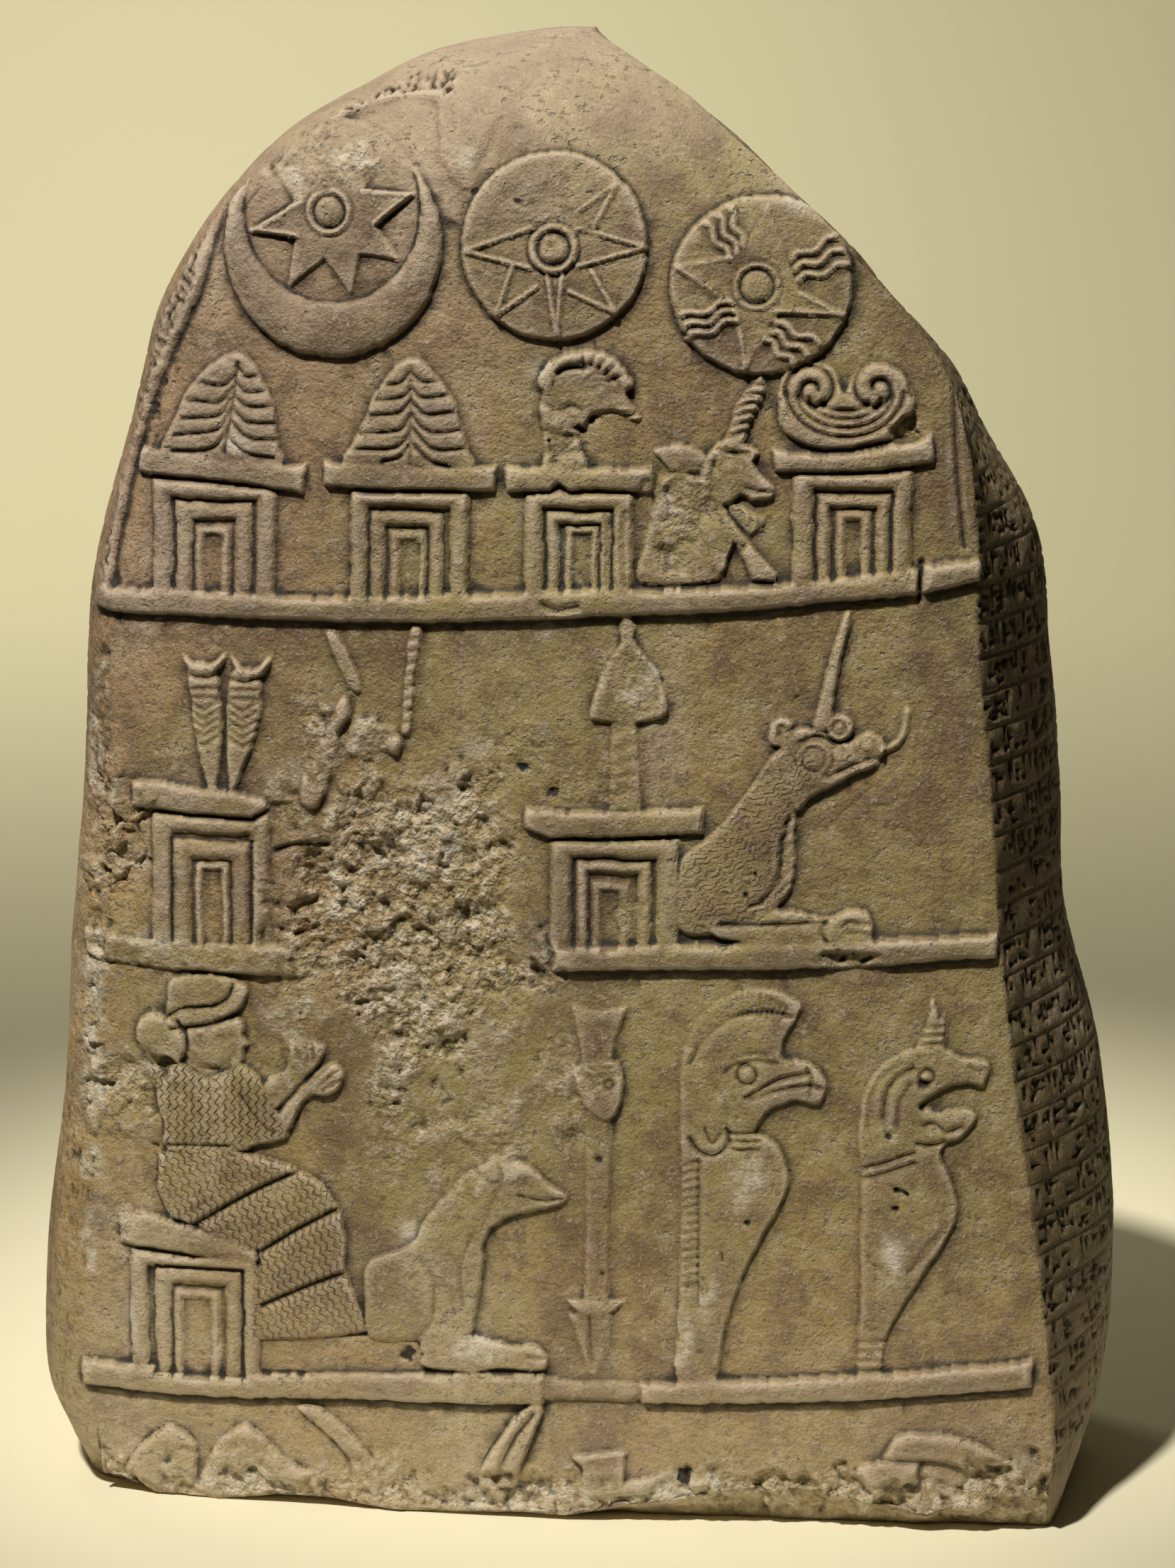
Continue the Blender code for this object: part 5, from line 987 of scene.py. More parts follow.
for at_u, at_v, radius, depth in PITS:
    gap = np.hypot(sheet_u - at_u, sheet_v - at_v) / (radius * (0.85 + 0.5 * middle + 0.8 * speckle))
    pitted = np.maximum(pitted, depth * np.exp(-(gap**4)))
# Cracks and scratches: depth, width and line.
CRACKS = [
    (0.8, 0.7, [(-85, 154), (-80, 153), (-76, 154.4)]),
    (0.8, 0.7, [(-86, 176), (-79, 178), (-72, 178)]),
    (0.8, 0.7, [(88, 248), (87.8, 252), (88.2, 258)]),
    (0.25, 0.5, [(64, 186), (70, 192), (78, 199)]),
    (0.2, 0.5, [(89, 66), (94, 72), (98, 77)]),
]
for crack in CRACKS:
    groove(*crack)
height = blur(height, 0.2) - 0.6 * pitted
height += 0.30 * broad + 0.10 * middle
# How far each place stands above its surroundings or sinks below them. The colour paints a highlight on what
# stands above and shade in what sinks below.
relief_rise = height - blur(height, 1.1)
PALE_PATCHES = [
    (-140, 108, 4, 9), (-139, 86, 4, 5), (-127.6, 67, 3, 3), (36.4, 98.6, 3, 3), (46, 92, 4, 5),
    (34, 55, 2.4, 7), (27, 45, 2, 8), (-127.6, 40, 2, 6), (82.4, 103.4, 2.6, 2.6), (-78, 134, 3, 3),
    (38, 113, 2.4, 2), (-28, 88, 4, 4), (-48, 72, 3, 3), (-20, 90, 3, 2.4), (-30, 40, 8, 3), (-104, 36, 2, 4),
    (-12, 308, 3, 3), (-8, 262, 3, 3), (84, 68, 3, 9), (42, 86, 3, 4), (-80, 356, 3, 6), (-12, 238, 3, 3),
    (16, 228, 2.4, 3), (12, 222, 3, 3), (-140, 62, 3, 10), (56, 352, 5, 4), (-66, 363, 5, 4),
    (-33, 362, 3, 4), (-139, 130, 4, 16), (-141, 196, 3, 14), (-100, -2, 22, 4), (-20, -3, 26, 4),
    (30, 2, 20, 4), (-120, 150, 8, 3), (-96, 286, 3, 2), (-30, 206, 5, 3),
]
# Dark patches: most are stains; the thin bands just under the first and second ledges are painted shade.
DARK_AND_SHADE_PATCHES = [
    (100, 226, 16, 30), (98, 275, 12, 26), (-132, 300, 9, 34), (-116, 330, 10, 18), (-96, 236, 40, 5),
    (-140, 215, 8, 22), (-22, 236, 20, 5), (60, 148, 40, 4), (-60, 60, 9, 12), (-6, 60, 5, 50),
    (-116, 196, 14, 5), (-70, 240, 12, 4), (-5, 150, 10, 20), (90, 330, 14, 12), (34, 306, 12, 8),
]


def patches(places):
    """0 to 1 over a set of ragged ovals, each given by its middle and its two half widths."""
    strength = np.zeros(height.shape)
    for place in places:
        strength = np.maximum(strength, np.clip(1.3 - oval(*place) + 0.8 * middle + 0.4 * fine, 0, 1))
    return strength


pale, dark_and_shaded = patches(PALE_PATCHES), patches(DARK_AND_SHADE_PATCHES)

# The writing on the sides: rows of short wedge-shaped strokes between ruled lines, pressed close
# together. They are set at random, so they spell nothing.
LINE_PITCH = 9.5
TEXT_FOOT, TEXT_HEAD, TEXT_WIDTH = 4, 372, 121
TEXT_CELL = 0.4
TEXT_DEEP = np.arange(0, 150, TEXT_CELL)
TEXT_V = np.arange(-10, 400, TEXT_CELL)
# Three kinds of stroke: upright, level and slanting.
STROKE_ANGLES, STROKE_LENGTHS = np.array((-90, 0, -45)), np.array((6.0, 4.8, 2.4))
STROKE_CELLS = 18


def writing(seed, density):
    """Depth of writing on a side sheet: furrows that narrow from a wedge's head to its tail.

    A stroke is a head and a direction. Its depth falls off with the distance from its middle line
    over a half width that shrinks along the stroke.
    """
    dice = np.random.default_rng(seed)
    depth = np.zeros((len(TEXT_V), len(TEXT_DEEP)))
    rows = np.arange(TEXT_FOOT, TEXT_HEAD, LINE_PITCH)
    count = int(len(rows) * density)
    row = dice.choice(rows, count)
    kind = dice.integers(0, 3, count)
    head_w = dice.uniform(1, 118, count)
    head_v = row + np.where(kind == 0, dice.uniform(6.6, 8.6, count), dice.uniform(2.0, 7.6, count))
    angle = np.radians(STROKE_ANGLES[kind] + dice.uniform(-9, 9, count))
    length = STROKE_LENGTHS[kind] * dice.uniform(0.75, 1.15, count)
    steps = np.arange(-STROKE_CELLS, STROKE_CELLS + 1)
    grid_w, grid_v = np.meshgrid(steps * TEXT_CELL, steps * TEXT_CELL)
    column = np.round(head_w / TEXT_CELL).astype(int)
    line = np.round((head_v - TEXT_V[0]) / TEXT_CELL).astype(int)
    from_w = grid_w[None] - (head_w - column * TEXT_CELL)[:, None, None]
    from_v = grid_v[None] - (head_v - TEXT_V[0] - line * TEXT_CELL)[:, None, None]
    cos, sin = np.cos(angle)[:, None, None], np.sin(angle)[:, None, None]
    along = (from_w * cos + from_v * sin) / length[:, None, None]
    across = np.abs(from_v * cos - from_w * sin)
    half_width = np.clip(1.3 * np.clip(1 - along, 0, 1.2) ** 1.3, 0.35, 1.3)
    stroke = (1.1 * np.clip(1 - across / half_width, 0, 1) * np.clip(1.15 - along, 0, 1)
              * (along > -0.12) * (along < 1.05))
    into_rows = np.clip(line[:, None, None] + steps[None, :, None], 0, len(TEXT_V) - 1)
    into_columns = np.clip(column[:, None, None] + steps[None, None, :], 0, len(TEXT_DEEP) - 1)
    cells = np.broadcast_to(into_rows, stroke.shape), np.broadcast_to(into_columns, stroke.shape)
    np.maximum.at(depth, cells, stroke)
    rule = np.abs((TEXT_V[:, None] - TEXT_FOOT + LINE_PITCH / 2) % LINE_PITCH - LINE_PITCH / 2)
    return np.maximum(depth, 0.4 * np.exp(-((rule / 0.55) ** 2)) * (TEXT_DEEP[None, :] < TEXT_WIDTH))


def sample(field, across, up, axis_across, axis_up):
    """Reads a sheet at any places: the four cells round each, weighted by nearness."""
    x = np.clip((across - axis_across[0]) / (axis_across[1] - axis_across[0]), 0, len(axis_across) - 1.001)
    y = np.clip((up - axis_up[0]) / (axis_up[1] - axis_up[0]), 0, len(axis_up) - 1.001)
    column, row = x.astype(int), y.astype(int)
    share_x, share_y = x - column, y - row
    near = field[row, column] * (1 - share_x) + field[row, column + 1] * share_x
    far = field[row + 1, column] * (1 - share_x) + field[row + 1, column + 1] * share_x
    return near * (1 - share_y) + far * share_y


# The whole stone: the body's grid, moved in or out along its own normals by the carving in front,
# the writing at the sides and a rough skin everywhere, and thinned to a mesh of even detail.
places = body_grid(level_rows())
LEVEL_COUNT, COLUMN_COUNT = places.shape[:2]
ARRIS_PASSES = 5
for _ in range(ARRIS_PASSES):
    arris_zone = places[:, FRONT_COLUMNS - 6 : FRONT_COLUMNS + 6]
    places[:, FRONT_COLUMNS - 5 : FRONT_COLUMNS + 5] = (
        0.25 * arris_zone[:, :-2] + 0.5 * arris_zone[:, 1:-1] + 0.25 * arris_zone[:, 2:])
along_row = np.roll(places, -1, 1) - np.roll(places, 1, 1)
up_column = np.gradient(places, axis=0)
normals = np.cross(along_row, up_column)
normals /= np.linalg.norm(normals, axis=-1, keepdims=True) + 1e-9
u, v = places[..., 0], places[..., 2]
column = np.arange(COLUMN_COUNT)
in_front = (column < FRONT_COLUMNS) | (column >= COLUMN_COUNT - CORNER_COLUMNS)
# Facing is 1 on the face and falls to 0 where the stone turns away, and at the foot.
facing = np.clip((-normals[..., 1] - 0.35) / 0.3, 0, 1) * np.clip((v + 9) / 4, 0, 1) * in_front


def on_face(field):
    """A sheet's values at every place of the grid, looked up by the place's u and v."""
    return sample(field, u, v, SHEET_U, SHEET_V)


carved = on_face(height) * facing
# Ways round the stone, measured along each level: back from the right arris and from the left corner.
steps = np.linalg.norm(np.diff(places[..., :2], axis=1, prepend=places[:, :1, :2]), axis=-1)
from_arris = np.cumsum(np.where(column >= FRONT_COLUMNS, steps, 0), axis=1)
from_corner = from_arris[:, -1:] - from_arris
right_text = sample(writing(21, 62), from_arris, v, TEXT_DEEP, TEXT_V)
left_text = sample(writing(22, 44), from_corner, v, TEXT_DEEP, TEXT_V)
worn_away = np.clip(0.7 + 0.9 * layers(places, 34, 2, seed=14), 0, 1)
on_right = (column >= FRONT_COLUMNS) & (column < FRONT_COLUMNS + RIGHT_COLUMNS + BACK_COLUMNS // 2)
on_left = (column > FRONT_COLUMNS + RIGHT_COLUMNS + 3 * BACK_COLUMNS // 2) & (from_corner > 1)
# The writing fades out under the crown and above the foot.
end_fade = np.clip((368 - v) / 12, 0, 1) * np.clip((v - 6) / 8, 0, 1)
text = (right_text * on_right + 0.7 * left_text * on_left * worn_away) * end_fade
CHIPS_FOOT, CHIPS_HEAD, CHIPS_FADE = 55, 262, 30
from_left_edge = np.where(column < FRONT_COLUMNS, u - places[:, :1, 0], -from_corner)
edge_chips = facets(from_left_edge + 200, v, 9.0, 17) + 0.6 * facets(from_left_edge + 200, v, 4.5, 19)
chip_zone = np.exp(-(((from_left_edge + 3) / 11) ** 2))
chip_zone *= np.clip((v - CHIPS_FOOT) / CHIPS_FADE, 0, 1)
chip_zone *= np.clip((CHIPS_HEAD - v) / CHIPS_FADE, 0, 1)
chip_zone *= np.clip(0.35 + 1.3 * layers(places, 30, 2, seed=51), 0, 1)
skin = 0.7 * layers(places, 34, 3, seed=31)
level_underside = v <= FOOT_V + 0.01
shift = np.where(facing > 0, carved, 0) + skin * (1 - 0.75 * facing) - text
shift += chip_zone * (4.2 * edge_chips - 1.9)
shift = np.where(level_underside, 0, shift)
places = places + normals * shift[..., None]
places[..., 2] = np.maximum(places[..., 2], FOOT_V)

# Colour attributes. Marks: edge or hollow, which the colour uses for a painted highlight on raised
# edges and painted shade in hollows and in the writing; broken stone; pits, painted with shade.
# Patterns: zigzags of the robe and of the skirt, scales of the dragon. Patina and shade: raised parts,
# pale patches, dark patches, partly painted shade under the ledges, and painted shade on the whole right
# side.
marks = np.zeros((LEVEL_COUNT, COLUMN_COUNT, 4))
# Edge or hollow: high on raised edges, for a painted highlight; low in hollows and in the strokes of the
# writing, for painted shade.
marks[..., 0] = np.clip(0.5 + 0.75 * on_face(relief_rise), 0, 1) * facing + 0.5 * (1 - facing)
marks[..., 0] -= 0.4 * np.clip(text, 0, 1)
marks[..., 1] = np.maximum(on_face(broken) * facing, 0.7 * chip_zone)
marks[..., 2] = np.clip(on_face(pitted), 0, 1) * facing
marks[..., 3] = 1
patterns = np.stack((
    on_face(zigzag_cover) * facing,
    on_face(skirt_cover) * facing,
    on_face(scale_cover) * facing,
    np.ones(u.shape),
), -1)
patina_and_shade = np.stack((
    on_face(raised) * facing,
    on_face(pale) * np.clip(facing * 4, 0, 1),
    # Dark patches, and the whole right side darkened as painted shade.
    np.maximum(on_face(dark_and_shaded) * facing, 1.0 * on_right * (1 - facing)),
    np.ones(u.shape),
), -1)

# Into the shared frame: centred on the widest level, with the back on the solid's back and the foot
# on its foot.
WIDEST = LEVELS[2]
world = np.stack((
    places[..., 0] + (cad_low[0] + cad_high[0]) / 2 / MM - (WIDEST[1] + WIDEST[4]) / 2,
    places[..., 1] + cad_high[1] / MM - max(LEAN * (row[0] - FOOT_V) + row[6] for row in LEVELS),
    places[..., 2] - FOOT_V + cad_low[2] / MM,
), -1) * MM
world = np.clip(world, cad_low, cad_high)

ring_now, ring_next = np.arange(COLUMN_COUNT), (np.arange(COLUMN_COUNT) + 1) % COLUMN_COUNT
level_starts = np.arange(LEVEL_COUNT - 1)[:, None] * COLUMN_COUNT
first, after = level_starts + ring_now, level_starts + ring_next
quads = np.stack((first, after, after + COLUMN_COUNT, first + COLUMN_COUNT), -1).reshape(-1, 4)
foot_centre, crown_centre = len(world) * COLUMN_COUNT, len(world) * COLUMN_COUNT + 1
top = (LEVEL_COUNT - 1) * COLUMN_COUNT
foot_fan = np.stack((ring_next, ring_now, np.full(COLUMN_COUNT, foot_centre)), -1)
crown_fan = np.stack((top + ring_now, top + ring_next, np.full(COLUMN_COUNT, crown_centre)), -1)
points = np.vstack((world.reshape(-1, 3), world[0].mean(0), world[-1].mean(0)))
corners = np.concatenate((quads.ravel(), foot_fan.ravel(), crown_fan.ravel()))
loop_starts = np.concatenate((np.arange(len(quads)) * 4, len(quads) * 4 + np.arange(2 * COLUMN_COUNT) * 3))

full_mesh = bpy.data.meshes.new("stone_full")
full_mesh.vertices.add(len(points))
full_mesh.vertices.foreach_set("co", points.astype(np.float32).ravel())
full_mesh.loops.add(len(corners))
full_mesh.loops.foreach_set("vertex_index", corners.astype(np.int32))
full_mesh.polygons.add(len(loop_starts))
full_mesh.polygons.foreach_set("loop_start", loop_starts.astype(np.int32))
full_mesh.update(calc_edges=True)
PLAIN, NONE = (0.5, 0, 0, 1), (0, 0, 0, 1)
for name, values, end in (("marks", marks, PLAIN), ("patterns", patterns, NONE), ("patina_and_shade", patina_and_shade, NONE)):
    layer = full_mesh.color_attributes.new(name, "FLOAT_COLOR", "POINT")
    layer.data.foreach_set("color", np.vstack((values.reshape(-1, 4), end, end)).astype(np.float32).ravel())

full_stone = bpy.data.objects.new("stone_full", full_mesh)
bpy.context.scene.collection.objects.link(full_stone)
thin = full_stone.modifiers.new("thin", "DECIMATE")
TRIANGLES = 196000
thin.ratio = TRIANGLES / (2 * len(quads) + 2 * COLUMN_COUNT)
bpy.context.view_layer.update()
stone_mesh = bpy.data.meshes.new_from_object(full_stone.evaluated_get(bpy.context.evaluated_depsgraph_get()))
bpy.data.objects.remove(full_stone)
bpy.data.meshes.remove(full_mesh)
thinned = np.empty(3 * len(stone_mesh.vertices), np.float32)
stone_mesh.vertices.foreach_get("co", thinned)
in_box = np.clip(thinned.reshape(-1, 3), cad_low, cad_high)
stone_mesh.vertices.foreach_set("co", in_box.astype(np.float32).ravel())
stone_mesh.update()
stone_mesh.shade_smooth()
stone = bpy.data.objects.new("carved_stone", stone_mesh)
bpy.context.scene.collection.objects.link(stone)

# The stone's finish: yellow-brown limestone with pinkish and olive clouds, painted shade in the
# hollows of the carving and on the right side, paler edges that are partly rubbed and partly a painted
# highlight, and whitish grains where it has broken.


class Socket:
    """A node's output that can be used in sums: each operator adds one Math node."""

    def __init__(self, tree, link):
        self.tree = tree
        self.link = link

    def math(self, operation, *others):
        """One Math node on this value and the others."""
        node = self.tree.nodes.new("ShaderNodeMath")
        node.operation = operation
        for slot, value in zip(node.inputs, (self, *others)):
            plug(self.tree, value, slot)
        return Socket(self.tree, node.outputs[0])

    def __add__(self, other):
        return self.math("ADD", other)

    __radd__ = __add__

    def __sub__(self, other):
        return self.math("SUBTRACT", other)

    def __rsub__(self, other):
        return (self * -1) + other

    def __mul__(self, other):
        return self.math("MULTIPLY", other)

    __rmul__ = __mul__

    def clamp(self):
        """The value, but no less than 0 and no more than 1."""
        return self.math("MAXIMUM", 0.0).math("MINIMUM", 1.0)

    def step(self, low, high):
        """0 below low, 1 above high, and a straight run between."""
        return ((self - low) * (1 / (high - low))).clamp()


def plug(tree, value, slot):
    """Links a Socket to a node's input, or sets a plain value there."""
    if isinstance(value, Socket):
        tree.links.new(value.link, slot)
    else:
        slot.default_value = value


class Shader:
    """A material's node tree with one way to add a node."""

    def __init__(self, name):
        self.material = bpy.data.materials.new(name)
        self.material.use_nodes = True
        self.tree = self.material.node_tree
        self.surface = self.tree.nodes["Principled BSDF"]

    def node(self, kind, output=0, settings=(), numbered=(), **named):
        """A node of a kind: settings first, then sockets by number or by name, to a value or link."""
        node = self.tree.nodes.new("ShaderNode" + kind)
        for name, value in dict(settings).items():
            setattr(node, name, value)
        for number, value in dict(numbered).items():
            plug(self.tree, value, node.inputs[number])
        for name, value in named.items():
            plug(self.tree, value, node.inputs[name.replace("_", " ")])
        return Socket(self.tree, node.outputs[output])

    def noise(self, place, scale, detail=4.0, roughness=0.55):
        """A Noise Texture node's value at the place."""
        return self.node("TexNoise", Vector=place, Scale=scale, Detail=detail, Roughness=roughness)

    def mix(self, share, first, second):
        """A Mix node on two colours: the first where the share is 0, the second where it is 1."""
        colours = {0: share, 6: first, 7: second}
        return self.node("Mix", output=2, settings={"data_type": "RGBA"}, numbered=colours)

    def finish(self, **inputs):
        """Puts values or links into the surface shader and gives back the material."""
        for name, value in inputs.items():
            plug(self.tree, value, self.surface.inputs[name.replace("_", " ")])
        return self.material


EARTH = (0.380, 0.268, 0.110, 1)
OLIVE = (0.335, 0.268, 0.104, 1)
ROSE = (0.335, 0.232, 0.192, 1)
PALE = (0.670, 0.550, 0.420, 1)
# Dirt in specks, and painted shade in the hollows of the carving and in the fine cuts.
DIRT_AND_SHADE = (0.060, 0.040, 0.020, 1)
FRESH = (0.640, 0.530, 0.340, 1)
# Near-black painted shade at the foot of raised forms and in the pits.
DEEP_SHADE = (0.015, 0.012, 0.010, 1)
RUST = (0.500, 0.290, 0.125, 1)
GREY = (0.275, 0.212, 0.170, 1)
CHALK = (0.700, 0.640, 0.520, 1)
# Stains, and painted shade under the ledges and on the right side.
STAIN_AND_SHADE = (0.160, 0.105, 0.055, 1)

shader = Shader("limestone")
place = shader.node("TexCoord", output=3)
place_x = shader.node("SeparateXYZ", output=0, Vector=place)
place_y = shader.node("SeparateXYZ", output=1, Vector=place)
place_z = shader.node("SeparateXYZ", output=2, Vector=place)


def channels(name):
    """The three channels of one of the mesh's colour attributes."""
    colour = shader.node("Attribute", settings={"attribute_name": name})
    return [shader.node("SeparateColor", output=k, Color=colour) for k in range(3)]


# The edge channel gives the painted highlight on raised edges and the painted shade in hollows.
edge, broken_here, pit_shade_here = channels("marks")
on_torso, on_skirt, on_scales = channels("patterns")
raised_here, pale_here, stain_and_shade_here = channels("patina_and_shade")
cloud = shader.noise(place, 11, detail=5)
mottle = shader.noise(place, 70, detail=7, roughness=0.65)
dents = shader.noise(place, 430, detail=4, roughness=0.6)
grain = shader.noise(place, 1100, detail=4, roughness=0.7)
flecks = shader.noise(place, 300, detail=5, roughness=0.65)
drawn_down = shader.node("Mapping", Vector=place, Scale=(1.0, 1.0, 0.35))
drawn_across = shader.node("Mapping", Vector=place, Scale=(0.45, 1.0, 1.5))
stain = shader.noise(drawn_down, 26, detail=6, roughness=0.6)
scratch = shader.noise(drawn_across, 420, detail=3, roughness=0.6)
worn = (mottle * 0.8 + cloud * 0.4).step(0.50, 0.70)
hollows = (dents + (mottle - 0.5) * 0.6).step(0.37, 0.24)
grit = shader.node("TexVoronoi", Vector=place, Scale=430.0)
fine_grit = shader.node("TexVoronoi", Vector=place, Scale=1000.0)


def zigzag(across, along, pitch, swing, length):
    """0 to 1, with a furrow where across plus a triangle wave of along passes each pitch."""
    wave = (along * (1 / length)).math("PINGPONG", 0.5) * (2 * swing)
    turn = (across + wave) * (math.tau / pitch)
    return (turn.math("COSINE") * 0.5 + 0.5).math("POWER", 6.0)


u_here = place_x * 1000 + (flecks - 0.5) * 1.4 + (mottle - 0.5) * 3.0
v_here = place_z * 1000 + (mottle - 0.5) * 4.0
broken_lines = (mottle * 0.6 + flecks * 0.5).step(0.38, 0.56)
torso_cuts = zigzag(u_here, v_here, 2.3, 1.0, 2.8) * on_torso * broken_lines
SKIRT_TILT, SCALES_TILT = math.radians(30), math.radians(50)
skirt_across = u_here * math.cos(SKIRT_TILT) + v_here * math.sin(SKIRT_TILT)
skirt_along = v_here * math.cos(SKIRT_TILT) - u_here * math.sin(SKIRT_TILT)
skirt_cuts = zigzag(skirt_across, skirt_along, 2.2, 0.9, 3.0) * on_skirt * broken_lines
scales_across = u_here * math.cos(SCALES_TILT) - v_here * math.sin(SCALES_TILT) + (mottle - 0.5) * 14
scales_along = u_here * math.sin(SCALES_TILT) + v_here * math.cos(SCALES_TILT)
scales_left = (dents + flecks - 0.5).step(0.42, 0.52)
scale_cuts = zigzag(scales_across, scales_along, 1.9, 0.9, 3.6) * on_scales * scales_left
cuts = torso_cuts + skirt_cuts * 0.8 + scale_cuts * 0.8

# The stone itself: olive and brown clouds, pink at the upper left, rust in the ground at the left
# and grey on what stands out.
base = shader.mix((cloud + (mottle - 0.5) * 0.6).step(0.40, 0.62), OLIVE, EARTH)
upper_left = (place_z * 2.6 - place_x * 3.0 + (cloud - 0.5) * 1.6 + (mottle - 0.5) * 0.7).step(0.70, 1.30)
base = shader.mix(upper_left * 0.80, base, ROSE)
base = shader.mix((1 - raised_here) * (cloud - place_x * 1.6).step(0.45, 0.85) * 0.50, base, RUST)
base = shader.mix(raised_here * (mottle + (cloud - 0.5)).step(0.35, 0.75) * 0.45, base, GREY)
# Dark stains that run down, dark mottling, the dark patches, with painted shade under the ledges
# and over the whole right side, and a streak under the first ledge.
base = shader.mix((stain + (mottle - 0.5) * 0.5).step(0.50, 0.66) * 0.55, base, STAIN_AND_SHADE)
base = shader.mix((mottle * 0.6 + flecks * 0.4).step(0.49, 0.59) * 0.82, base, STAIN_AND_SHADE)
# Dark patches, partly stains and partly painted shade under the ledges, and painted shade on the right side.
base = shader.mix(stain_and_shade_here * (mottle * 0.6 + flecks * 0.5).step(0.30, 0.60) * 0.75, base, STAIN_AND_SHADE)
SEAM_X = 0.0145
seam = ((place_x - SEAM_X) * 1000 + (mottle - 0.5) * 6).math("ABSOLUTE").step(6.0, 1.5)
seam = seam * place_z.step(0.27, 0.20) * place_y.step(0.0, -0.03)
base = shader.mix(seam * (flecks * 0.5 + mottle * 0.6).step(0.35, 0.65) * 0.7, base, STAIN_AND_SHADE)
# Paler: between the stains, towards the crown and the foot, and in spots. Then specks of dirt.
base = shader.mix((stain + (flecks - 0.5) * 0.5).step(0.42, 0.30) * 0.45, base, PALE)
crown_here = (place_z + (cloud - 0.5) * 0.10).step(0.345, 0.405) * 0.55
foot_here = (place_z + (cloud - 0.5) * 0.08).step(0.085, 0.0) * 0.30
base = shader.mix(crown_here + foot_here, base, PALE)
base = shader.mix((mottle * 0.6 + dents * 0.4).step(0.47, 0.36) * 0.45, base, PALE)
base = shader.mix((flecks * 0.5 + grain * 0.5).step(0.53, 0.65) * 0.60, base, PALE)
base = shader.mix((flecks * 0.5 + grain * 0.3 + scratch * 0.2).step(0.46, 0.35) * 0.75, base, DIRT_AND_SHADE)
# Broken stone: fresh grains, stained hollows and chalky specks. The pale patches are chalky too.
fresh_here = (flecks * 0.7 + grain * 0.4 + (mottle - 0.5) * 1.2).step(0.44, 0.66)
base = shader.mix(broken_here * fresh_here * 0.80, base, FRESH)
base = shader.mix(broken_here * (flecks * 0.8 + grain * 0.3).step(0.46, 0.36) * 0.35, base, STAIN_AND_SHADE)
base = shader.mix(broken_here * (mottle * 0.4 + flecks * 0.7).step(0.57, 0.64) * 0.90, base, CHALK)
base = shader.mix(pale_here * (mottle * 0.5 + flecks * 0.7).step(0.50, 0.66) * 0.90, base, CHALK)
# Edges made pale, partly rubbed and partly a painted highlight; painted shade in the hollows of the
# carving, near black at the foot of raised forms, and in the finest cuts; and the pits painted near
# black as shade.
base = shader.mix((edge + (mottle - 0.5) * 0.4).step(0.55, 0.78) * 0.70, base, PALE)
base = shader.mix((edge + (mottle - 0.5) * 0.3).step(0.46, 0.22) * (0.72 - broken_here * 0.5), base, DIRT_AND_SHADE)
# Near-black painted shade where the hollows are deepest, at the foot of raised forms.
base = shader.mix(edge.step(0.36, 0.13) * (0.95 - broken_here * 0.75), base, DEEP_SHADE)
# Painted shade in the fine zigzag and scale cuts, which are bumps only.
base = shader.mix(cuts * 0.30, base, DIRT_AND_SHADE)
# Painted shade in the pits, near black.
base = shader.mix(pit_shade_here.step(0.4, 0.8) * 0.9, base, DEEP_SHADE)
rough = 0.50 + grain * 0.25 + broken_here * 0.15
SKIN_DEPTH = 0.0017
skin_height = (grain * 0.30 + flecks * (0.24 + worn * 0.30 + broken_here * 0.8)
               + mottle * (0.60 + broken_here * 1.2) - (grit * 0.7 + fine_grit * 0.3) * broken_here
               + scratch * 0.07 - cuts * 0.50 - hollows * 0.45)
bump = shader.node("Bump", Strength=1.0, Distance=SKIN_DEPTH, Height=skin_height)
stone_mesh.materials.append(shader.finish(Base_Color=base, Roughness=rough, Normal=bump))

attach(stone, "root")
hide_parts("kudurru_stone")

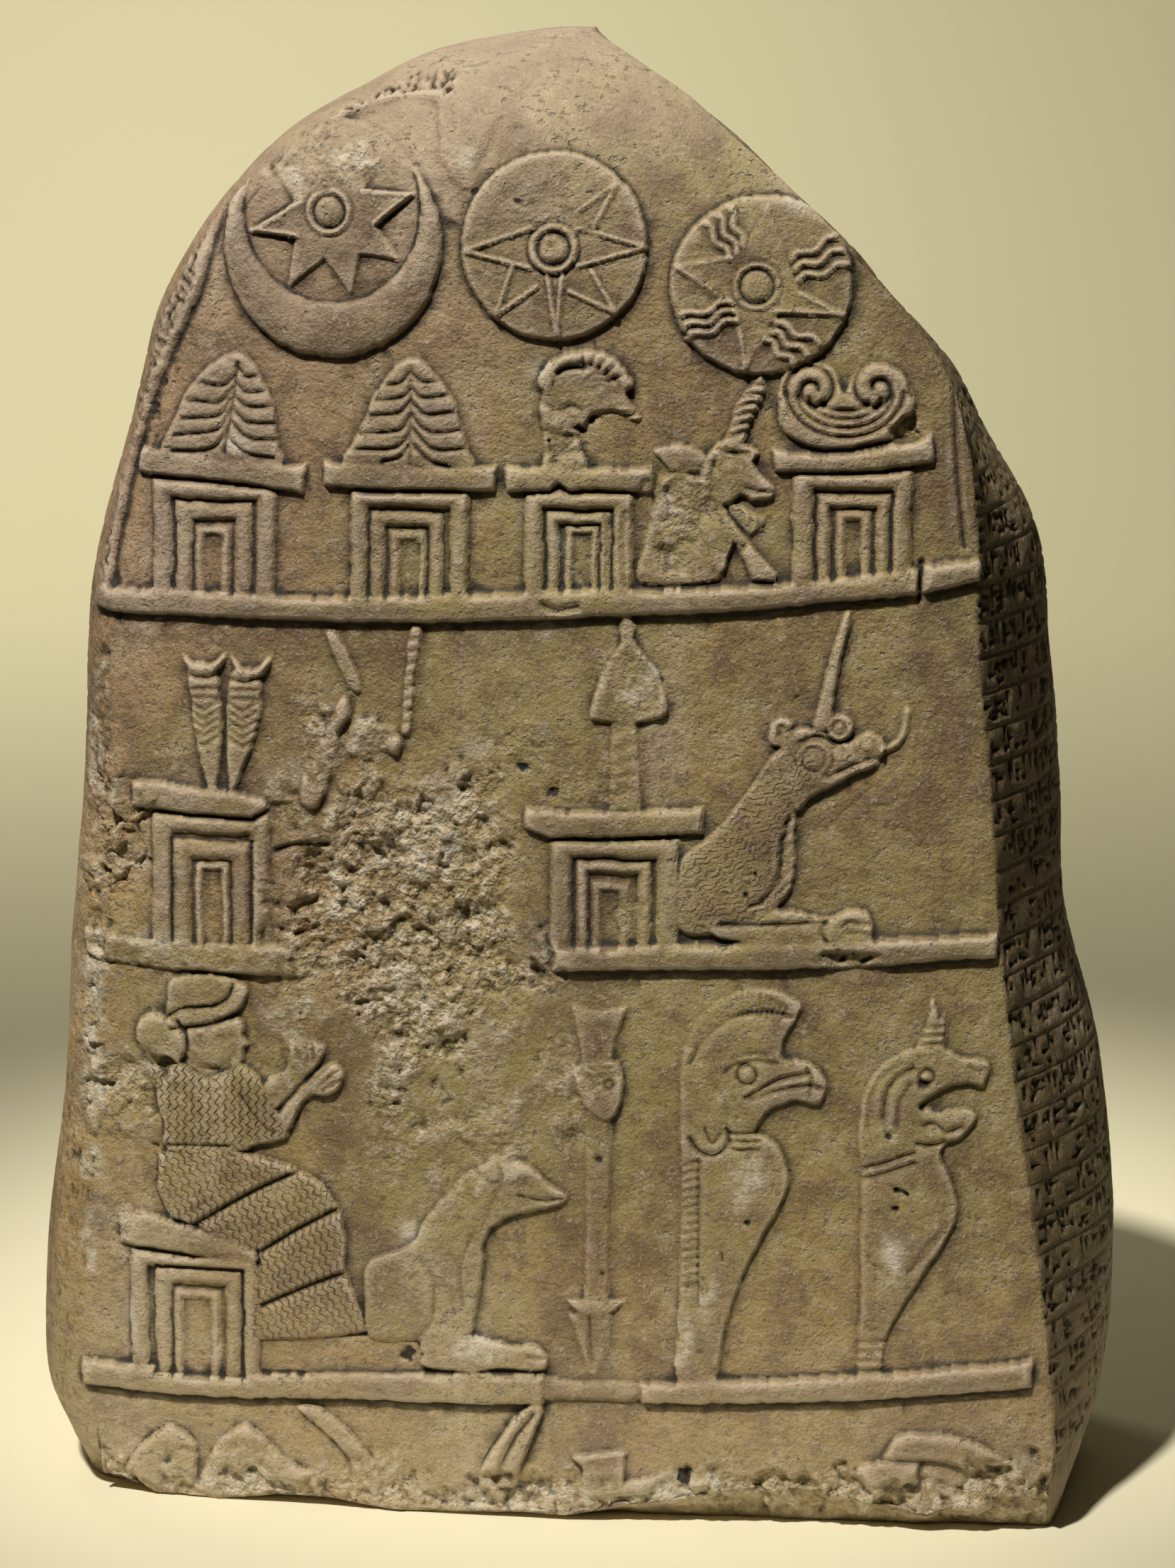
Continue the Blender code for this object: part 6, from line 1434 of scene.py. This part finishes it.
# Floor and lights: a pale sweep, a spot lamp with a narrow soft-edged beam high up at the left, which
# rakes down the face, a lamp for the backdrop at the left, and a faint even glow all round.
FLOOR_RUN, FLOOR_WIDTH, SWEEP_RADIUS, WALL_HEIGHT = 1.6, 4.0, 0.6, 2.4
sweep_turn = np.linspace(0, math.pi / 2, 24)
profile = np.vstack((
    ((-2.5, 0),),
    np.stack((FLOOR_RUN + SWEEP_RADIUS * np.sin(sweep_turn), SWEEP_RADIUS * (1 - np.cos(sweep_turn))), -1),
    ((FLOOR_RUN + SWEEP_RADIUS, WALL_HEIGHT),),
))
floor_points = [(side * FLOOR_WIDTH, y, z) for y, z in profile for side in (-1, 1)]
floor_faces = [(2 * k, 2 * k + 1, 2 * k + 3, 2 * k + 2) for k in range(len(profile) - 1)]
floor_mesh = bpy.data.meshes.new("floor")
floor_mesh.from_pydata(floor_points, [], floor_faces)
floor_mesh.shade_smooth()
floor = bpy.data.objects.new("floor", floor_mesh)
bpy.context.scene.collection.objects.link(floor)
floor_finish = Shader("pale_floor")
floor_mesh.materials.append(floor_finish.finish(Base_Color=(0.80, 0.755, 0.56, 1), Roughness=0.8))
floor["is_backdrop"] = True


def lamp(name, kind, place, target, energy, colour, **settings):
    """A lamp of a kind at a place, turned to face a target, with settings of its own kind."""
    light = bpy.data.objects.new(name, bpy.data.lights.new(name, kind))
    light.data.energy, light.data.color = energy, colour
    for setting, value in settings.items():
        setattr(light.data, setting, value)
    place, target = Vector(place), Vector(target)
    turn = (place - target).to_track_quat("Z", "Y").to_matrix().to_4x4()
    light.matrix_world = Matrix.Translation(place) @ turn
    bpy.context.scene.collection.objects.link(light)


KEY_AZIMUTH, KEY_ELEVATION, KEY_DISTANCE = math.radians(-24), math.radians(60), 4.0
key_place = (
    math.sin(KEY_AZIMUTH) * math.cos(KEY_ELEVATION) * KEY_DISTANCE,
    -math.cos(KEY_AZIMUTH) * math.cos(KEY_ELEVATION) * KEY_DISTANCE,
    math.sin(KEY_ELEVATION) * KEY_DISTANCE + 0.2,
)
lamp("key_lamp", "SPOT", key_place, (-0.035, 0.0, 0.165), 815, (1.0, 0.95, 0.84),
     shadow_soft_size=0.13, spot_size=math.radians(8.9), spot_blend=0.35)
lamp("backdrop_lamp", "AREA", (-0.9, 1.05, 1.8), (-0.45, 1.9, 0.35), 15.4, (1.0, 0.96, 0.78),
     size=0.6, spread=math.radians(130))
glow = bpy.data.worlds.new("glow")
glow.use_nodes = True
glow.node_tree.nodes["Background"].inputs["Color"].default_value = (1.0, 0.97, 0.86, 1)
glow.node_tree.nodes["Background"].inputs["Strength"].default_value = 0.012
bpy.context.scene.world = glow
